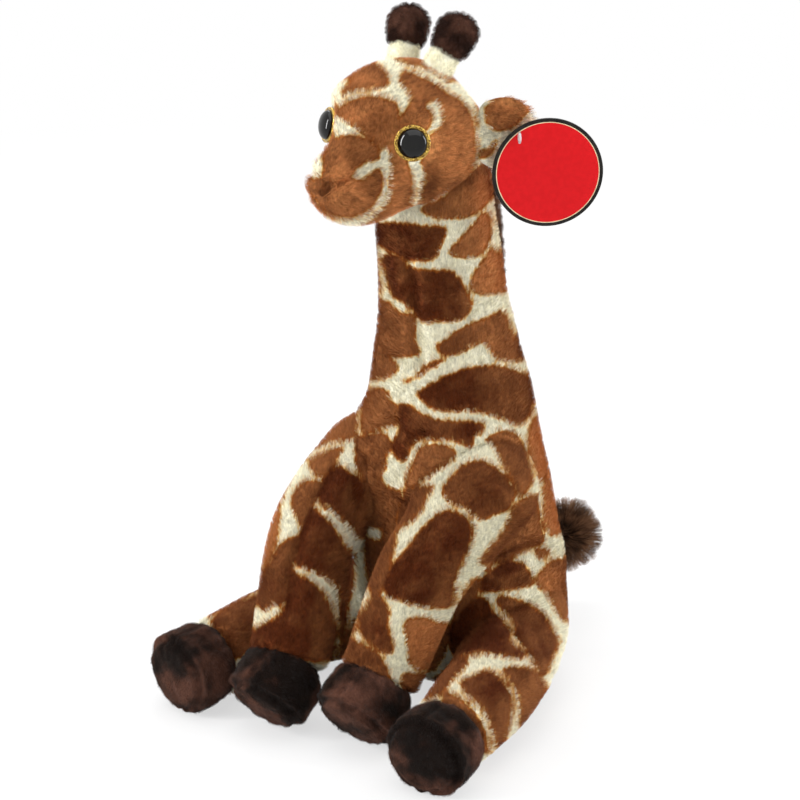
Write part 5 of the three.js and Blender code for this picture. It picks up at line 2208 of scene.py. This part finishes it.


# The print, in pixels of the photograph

# The second number of a patch is its light: its own tone together with painted sheen and painted shade,
# darker for patches that lie in shade, such as under the thigh's fold.
COAT = (
    Patch(((373, 226), (400, 223), (422, 226), (442, 227), (446, 234), (440, 246), (437, 256), (428, 261),
           (411, 261), (406, 263), (400, 257), (388, 251), (378, 244), (372, 240))),
    Patch(((463, 236), (473, 225), (484, 213), (490, 222), (489, 240), (484, 252), (475, 257), (460, 257),
           (449, 254), (452, 248)), 0.5),
    Patch(((488, 168), (468, 170), (454, 186), (440, 200), (422, 208), (430, 216), (446, 219), (466, 218),
           (479, 211), (490, 198)), 0.5),
    Patch(((383, 258), (392, 255), (402, 258), (406, 266), (410, 284), (414, 300), (418, 314), (403, 303),
           (393, 296), (388, 284), (385, 270)), 0.05),
    Patch(((372, 258), (378, 262), (381, 275), (383, 290), (380, 300), (372, 298)), 0.4),
    Patch(((406, 267), (420, 270), (444, 271), (454, 273), (460, 281), (467, 291), (472, 305), (466, 316),
           (458, 321), (440, 322), (425, 323), (414, 313), (407, 293))),
    Patch(((491, 249), (498, 256), (504, 270), (506, 292), (492, 294), (480, 295), (472, 290), (471, 280),
           (476, 270), (483, 261)), 0.8),
    Patch(((378, 306), (389, 303), (400, 313), (414, 317), (416, 328), (415, 338), (420, 350), (419, 355),
           (402, 357), (390, 359), (398, 368), (392, 376), (382, 380), (370, 378), (370, 340)), 0.4),
    Patch(((500, 312), (506, 320), (512, 336), (521, 345), (524, 361), (503, 361), (494, 358), (488, 349),
           (482, 343), (472, 347), (462, 353), (448, 356), (439, 352), (438, 346), (446, 340), (460, 330),
           (474, 323), (488, 318)), 0.2),
    Patch(((446, 358), (436, 366), (424, 374), (410, 381), (403, 382), (414, 377), (422, 370), (432, 362))),
    Patch(((418, 395), (428, 386), (449, 375), (475, 367), (503, 368), (526, 377), (532, 396), (530, 414),
           (519, 426), (503, 420), (485, 414), (467, 411), (452, 412), (439, 411), (428, 406)), -0.05),
    Patch(((373, 391), (381, 389), (388, 393), (391, 402), (397, 406), (398, 417), (396, 425), (381, 430),
           (364, 435), (362, 425), (362, 414), (366, 402)), 0.4),
    Patch(((398, 406), (409, 405), (415, 410), (422, 415), (435, 419), (448, 422), (474, 422), (485, 427),
           (480, 435), (474, 438), (472, 448), (465, 446), (452, 441), (435, 440), (423, 440), (417, 442),
           (411, 448), (408, 458), (402, 462), (396, 457), (391, 448), (393, 441), (398, 434), (399, 426),
           (397, 417)), 0.03),
    Patch(((356, 440), (366, 436), (380, 434), (390, 440), (392, 450), (387, 455), (386, 466), (382, 476),
           (386, 486), (396, 490), (402, 493), (400, 508), (396, 524), (396, 545), (392, 560), (386, 584),
           (374, 600), (368, 575), (366, 550), (368, 540), (378, 541), (383, 537), (381, 529), (372, 528),
           (366, 524), (363, 500), (362, 478), (356, 466)), 0.27),
    Patch(((486, 440), (499, 433), (511, 433), (521, 441), (527, 462), (531, 480), (527, 490), (519, 498),
           (512, 482), (500, 463), (492, 447)), 0.3),
    Patch(((532, 421), (538, 424), (543, 438), (548, 458), (549, 470), (541, 482), (534, 475), (530, 458),
           (527, 438)), 1.0),
    Patch(((546, 476), (554, 480), (562, 495), (565, 515), (565, 530), (556, 536), (548, 533), (543, 520),
           (543, 500), (542, 486)), 1.0),
    Patch(((514, 506), (525, 498), (536, 500), (540, 520), (543, 541), (531, 549), (512, 558), (490, 565),
           (478, 562), (490, 545), (502, 530)), 0.15),
    Patch(((424, 446), (435, 445), (449, 447), (456, 455), (452, 463), (439, 471), (428, 479), (419, 484),
           (406, 489), (407, 479), (413, 465), (418, 453)), 0.5),
    Patch(((405, 490), (416, 487), (428, 488), (434, 489), (427, 500), (424, 510), (415, 520), (404, 530),
           (394, 534), (396, 518), (400, 503)), 0.25),
    Patch(((443, 491), (449, 480), (460, 469), (471, 463), (483, 462), (497, 470), (509, 483), (514, 496),
           (509, 509), (496, 514), (485, 519), (474, 518), (464, 509), (449, 503)), 0.15),
    Patch(((446, 511), (457, 513), (468, 521), (472, 531), (469, 545), (463, 560), (455, 578), (452, 598),
           (449, 606), (437, 609), (420, 607), (400, 602), (388, 597), (383, 586), (390, 569), (405, 551),
           (425, 526))),
    Patch(((514, 516), (512, 532), (500, 552), (488, 572), (484, 566), (496, 545), (506, 526)), 0.7),
    Patch(((470, 580), (478, 580), (480, 590), (470, 605), (460, 622), (454, 624), (455, 606),
           (461, 592)), 0.5),
    Patch(((376, 596), (384, 600), (389, 612), (388, 626), (391, 638), (393, 652), (386, 655), (376, 650),
           (368, 643), (361, 634), (360, 622), (366, 610)), 0.15),
    Patch(((360, 615), (358, 628), (356, 636), (342, 643), (346, 628)), 0.7),
    Patch(((338, 645), (352, 641), (366, 647), (379, 655), (386, 668), (392, 688), (376, 688), (358, 680),
           (338, 668)), 0.25),
    Patch(((404, 623), (419, 618), (432, 622), (453, 630), (447, 646), (438, 666), (423, 671), (411, 666),
           (407, 652), (406, 638)), 0.8),
    Patch(((402, 675), (412, 674), (430, 680), (424, 696), (404, 694), (400, 684)), 0.2),
    Patch(((296, 460), (312, 438), (335, 424), (354, 415), (357, 426), (357, 435), (351, 441), (339, 443),
           (324, 447), (311, 455)), 0.6),
    Patch(((309, 465), (318, 458), (330, 452), (343, 449), (338, 459), (332, 470), (320, 478),
           (312, 473)), 0.55),
    Patch(((292, 508), (296, 492), (305, 483), (316, 482), (325, 486), (322, 496), (313, 507), (309, 520),
           (303, 529), (296, 520)), 0.4),
    Patch(((317, 489), (327, 474), (340, 467), (352, 475), (363, 481), (368, 500), (368, 532), (359, 540),
           (348, 528), (336, 516), (317, 502))),
    Patch(((309, 507), (324, 518), (337, 533), (347, 553), (356, 566), (354, 590), (345, 602), (334, 588),
           (322, 577), (308, 571), (292, 564), (297, 543), (302, 524))),
    Patch(((264, 575), (272, 559), (281, 545), (292, 538), (303, 538), (300, 556), (293, 572), (290, 602),
           (276, 606), (264, 612), (258, 602)), 0.2),
    Patch(((293, 475), (287, 492), (281, 510), (280, 530), (272, 556), (264, 568), (260, 548), (264, 522),
           (272, 498), (282, 480)), 0.9),
    Patch(((287, 573), (302, 577), (316, 586), (327, 602), (332, 622), (334, 640), (328, 660), (306, 660),
           (280, 656), (256, 660), (244, 664), (250, 642), (262, 626), (276, 618), (282, 611),
           (284, 598)), -0.05),
    Patch(((338, 590), (347, 603), (344, 625), (339, 642), (336, 615)), 0.1),
    Patch(((505, 562), (515, 562), (525, 566), (530, 575), (533, 585), (522, 588), (508, 590), (495, 592),
           (480, 592), (482, 580), (492, 570)), -0.05),
    Patch(((535, 582), (540, 572), (552, 562), (563, 561), (574, 580), (575, 600), (570, 622), (559, 619),
           (551, 605), (543, 592)), 0.42),
    Patch(((535, 551), (542, 549), (548, 553), (545, 560), (537, 558)), 0.4),
    Patch(((496, 600), (508, 597), (522, 602), (541, 613), (550, 628), (556, 642), (550, 660), (541, 676),
           (537, 674), (527, 655), (514, 641), (514, 628), (503, 613)), 0.15),
    Patch(((474, 599), (486, 600), (494, 613), (509, 630), (510, 643), (524, 656), (520, 660), (500, 658),
           (480, 656), (466, 658), (452, 652), (448, 632), (460, 610)), -0.05),
    Patch(((460, 685), (472, 678), (486, 672), (497, 677), (507, 690), (511, 706), (507, 724), (500, 742),
           (494, 754), (491, 735), (485, 717), (474, 704), (465, 696)), 0.05),
    Patch(((444, 694), (456, 697), (468, 706), (479, 720), (485, 735), (486, 752), (470, 740), (456, 722),
           (444, 706)), 0.45),
    Patch(((467, 659), (466, 668), (460, 675), (452, 683), (446, 692), (434, 700), (418, 700), (425, 688),
           (440, 674), (455, 662)), 0.1),
    Patch(((501, 671), (516, 668), (529, 670), (539, 681), (543, 690), (529, 714), (516, 731), (517, 708),
           (514, 692), (506, 681)), 0.2),
    Patch(((210, 623), (230, 608), (250, 600), (266, 593), (262, 606), (254, 612), (254, 628), (250, 640),
           (245, 652), (236, 658), (226, 650), (222, 636)), 0.15),
)

BODY_PRINT = Print(patches=COAT, tone=0.05, seed=21)

HEAD_PRINT = Print(
    patches=(
        Patch(((335, 80), (345, 67), (356, 58), (368, 53), (375, 57), (374, 66), (382, 71), (387, 79),
               (388, 85), (384, 88), (374, 91), (362, 92), (352, 94), (344, 98), (342, 95), (347, 88),
               (352, 82), (345, 84))),
        Patch(((391, 54), (404, 48), (419, 51), (435, 60), (447, 70), (455, 81), (447, 83), (436, 76),
               (424, 71), (411, 68), (401, 65), (394, 61)), 0.3),
        Patch(((398, 78), (404, 73), (413, 75), (424, 80), (437, 87), (448, 95), (458, 100), (466, 109),
               (472, 121), (474, 136), (474, 152), (468, 169), (457, 185), (443, 198), (429, 207), (416, 209),
               (417, 200), (418, 190), (421, 180), (424, 171), (421, 163), (423, 154), (427, 145), (429, 137),
               (434, 133), (440, 126), (441, 115), (438, 105), (431, 102), (425, 104), (426, 109), (431, 114),
               (431, 122), (426, 130), (412, 134), (400, 136), (399, 122), (404, 113), (409, 104), (407, 94),
               (401, 86)), -0.05),
        Patch(((473, 97), (479, 99), (483, 112), (481, 127), (476, 122), (474, 108)), -0.2),
        Patch(((336, 114), (345, 105), (359, 99), (374, 98), (387, 100), (396, 104), (398, 114), (401, 124),
               (404, 136), (403, 150), (407, 162), (410, 176), (411, 192), (407, 204), (399, 214), (388, 221),
               (362, 224), (371, 216), (381, 207), (387, 196), (389, 184), (390, 168), (389, 152), (386, 148),
               (380, 150), (373, 143), (364, 136), (353, 127), (343, 121)), 0.1),
        Patch(((326, 150), (332, 140), (345, 136), (360, 137), (370, 142), (378, 152), (377, 160), (366, 162),
               (357, 168), (351, 175), (355, 181), (364, 179), (374, 170), (380, 172), (382, 184), (378, 197),
               (369, 208), (356, 215), (340, 216), (325, 210), (313, 197), (305, 184), (304, 178), (318, 180),
               (323, 172), (323, 160)), 0.0),
        Patch(((322, 130), (326, 137), (320, 146), (316, 158), (306, 163), (304, 152), (311, 138)), 0.1),
        Patch(((486, 178), (472, 185), (462, 195), (448, 207), (434, 215), (446, 220), (466, 218), (479, 211),
               (488, 198)), -0.2),
    ),
    gap=1.3,
    mottle=0.42,
    spacing=24.0,
    tone=0.62,
    seed=22,
    swell=0.15,
    middle_light=0.2,
)

FRONT_LEFT_PRINT = Print(patches=COAT, spacing=26.0, tone=0.05, seed=23)
FRONT_RIGHT_PRINT = Print(patches=COAT, spacing=26.0, tone=0.03, seed=24)
HIND_LEFT_PRINT = Print(patches=COAT, spacing=26.0, tone=0.05, seed=25)
HIND_RIGHT_PRINT = Print(patches=COAT, spacing=27.0, tone=0.1, seed=26)

EAR_PRINTS = {
    Side.LEFT: Print(
        patches=(
            Patch(((485, 110), (492, 100), (505, 92), (522, 90), (532, 101), (527, 112), (512, 126),
                   (500, 130), (489, 127)), 0.1),
            Patch(((477, 152), (488, 148), (497, 140), (492, 152), (482, 158)), 0.1),
        ),
        gap=1.5,
        spacing=40.0,
        tone=0.7,
        seed=27,
    ),
    Side.RIGHT: Print(patches=(), gap=1.5, spacing=26.0, tone=0.85, seed=28),
}

NOSTRIL = (329, 187)
CROWN = (470, 86)

HEAD_FOLDS = (
    (((328, 188), (338, 185), (346, 179), (353, 174), (360, 167)), 2.0, 3.4),
    (((327, 179), (328, 188), (325, 200)), 2.0, 2.4),
    (((475, 152), (468, 175), (446, 203), (425, 212), (400, 214)), 2.0, 1.0),
)

BODY_FOLDS = (
    (((406, 263), (411, 286), (416, 322), (422, 363)), 2.8, 2.6),
    (((384, 357), (400, 364), (418, 367)), 2.8, 2.8),
    (((371, 433), (385, 428), (398, 425)), 2.6, 2.4),
    (((421, 438), (412, 455), (406, 463), (402, 480)), 2.8, 2.4),
    (((363, 462), (364, 500), (366, 560)), 3.2, 2.4),
    (((498, 563), (513, 558), (530, 550), (545, 550), (556, 557)), 3.4, 3.4),
)

LEG_SWELLS = {
    "front_leg_left": (((428, 478), 16.0, 4.0), ((398, 560), 13.0, 2.0)),
    "hind_leg_left": (((552, 580), 16.0, 4.0), ((520, 590), 14.0, 2.0)),
}

LEG_FOLDS = {
    "front_leg_right": (
        (((336, 465), (316, 500), (300, 534), (289, 571), (286, 610)), 2.8, 2.2),
        (((352, 470), (352, 520), (348, 570)), 3.2, 1.6),
    ),
    "front_leg_left": (
        (((432, 520), (412, 560), (384, 610)), 2.8, 1.0),
        (((500, 480), (510, 486), (518, 496)), 2.4, 1.2),
    ),
    "hind_leg_left": (
        (((510, 631), (524, 655), (538, 678), (551, 672)), 2.4, 2.2),
        (((470, 605), (500, 592), (540, 585)), 3.4, 2.2),
        (((466, 665), (490, 668), (516, 676)), 2.6, 1.6),
    ),
}


@dataclass
class Giraffe:
    """The whole toy."""

    body: Body = field(default_factory=Body)
    head: Head = field(default_factory=Head)

    def legs(self) -> list[Leg]:
        """The four legs, with the sizes that the CAD has.

        Returns:
            Front left, front right, hind left and hind right.
        """
        front = dict(kind=LegKind.FRONT, pitch=38.0, out=0.0, ball=21.0, width=40.0, ankle=35.0, merge=20.0)
        hind = dict(kind=LegKind.HIND, pitch=4.0, out=8.0, ball=22.0, width=42.0, ankle=35.0, merge=9.0)
        return [
            Leg(
                side=Side.LEFT,
                joint=(36.0, -29.95, 103.4),
                hoof=(20.0, -95.0, 21.7),
                knee_rise=6.0,
                knee_out=-5.0,
                print_=FRONT_LEFT_PRINT,
                **front,
            ),
            Leg(
                side=Side.RIGHT,
                joint=(-36.0, -29.95, 99.4),
                hoof=(-21.0, -107.0, 21.7),
                knee_rise=15.0,
                knee_out=6.0,
                print_=FRONT_RIGHT_PRINT,
                **front,
            ),
            Leg(
                side=Side.LEFT,
                joint=(34.5, -8.0, 26.0),
                hoof=(68.5, -106.0, 19.1),
                knee_rise=0.0,
                knee_out=4.0,
                print_=HIND_LEFT_PRINT,
                **hind,
            ),
            Leg(
                side=Side.RIGHT,
                joint=(-34.5, -8.0, 26.0),
                hoof=(-64.0, -114.0, 19.1),
                knee_rise=-3.0,
                knee_out=11.0,
                print_=HIND_RIGHT_PRINT,
                **hind,
            ),
        ]

    def build(self) -> None:
        """Builds every piece and says so in the log."""
        self.head.eyes = [Eye(side) for side in Side]
        legs = self.legs()
        for leg in legs:
            leg.join(self.body)
        self.body.sculpt()
        self.body.build()
        LOG.info("body and neck are made")
        self.head.sculpt()
        self.head.build()
        for eye in self.head.eyes:
            eye.build()
        Washers().build()
        LOG.info("head and eyes are made")
        for leg in legs:
            leg.sculpt()
            leg.crush()
            leg.build(self.body)
            LOG.info("%s is made", leg.label)
        for side in Side:
            Ear(side, self.head).build()
            Ossicone(side).build()
            LOG.info("%s ear and ossicone are made", side.word)
        Mane(self.body).build()
        Tail().build()
        SwingTag().build()
        LOG.info("mane, tail and tag are made")


def write_sizes() -> None:
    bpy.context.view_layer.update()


def main() -> None:
    """Builds the camera, the studio and the toy."""
    logging.basicConfig(level=logging.INFO)
    bpy.context.scene.view_settings.view_transform = "Standard"
    CAMERA.build()
    Studio().build()
    Giraffe().build()
    write_sizes()


if __name__ == "__main__":
    main()
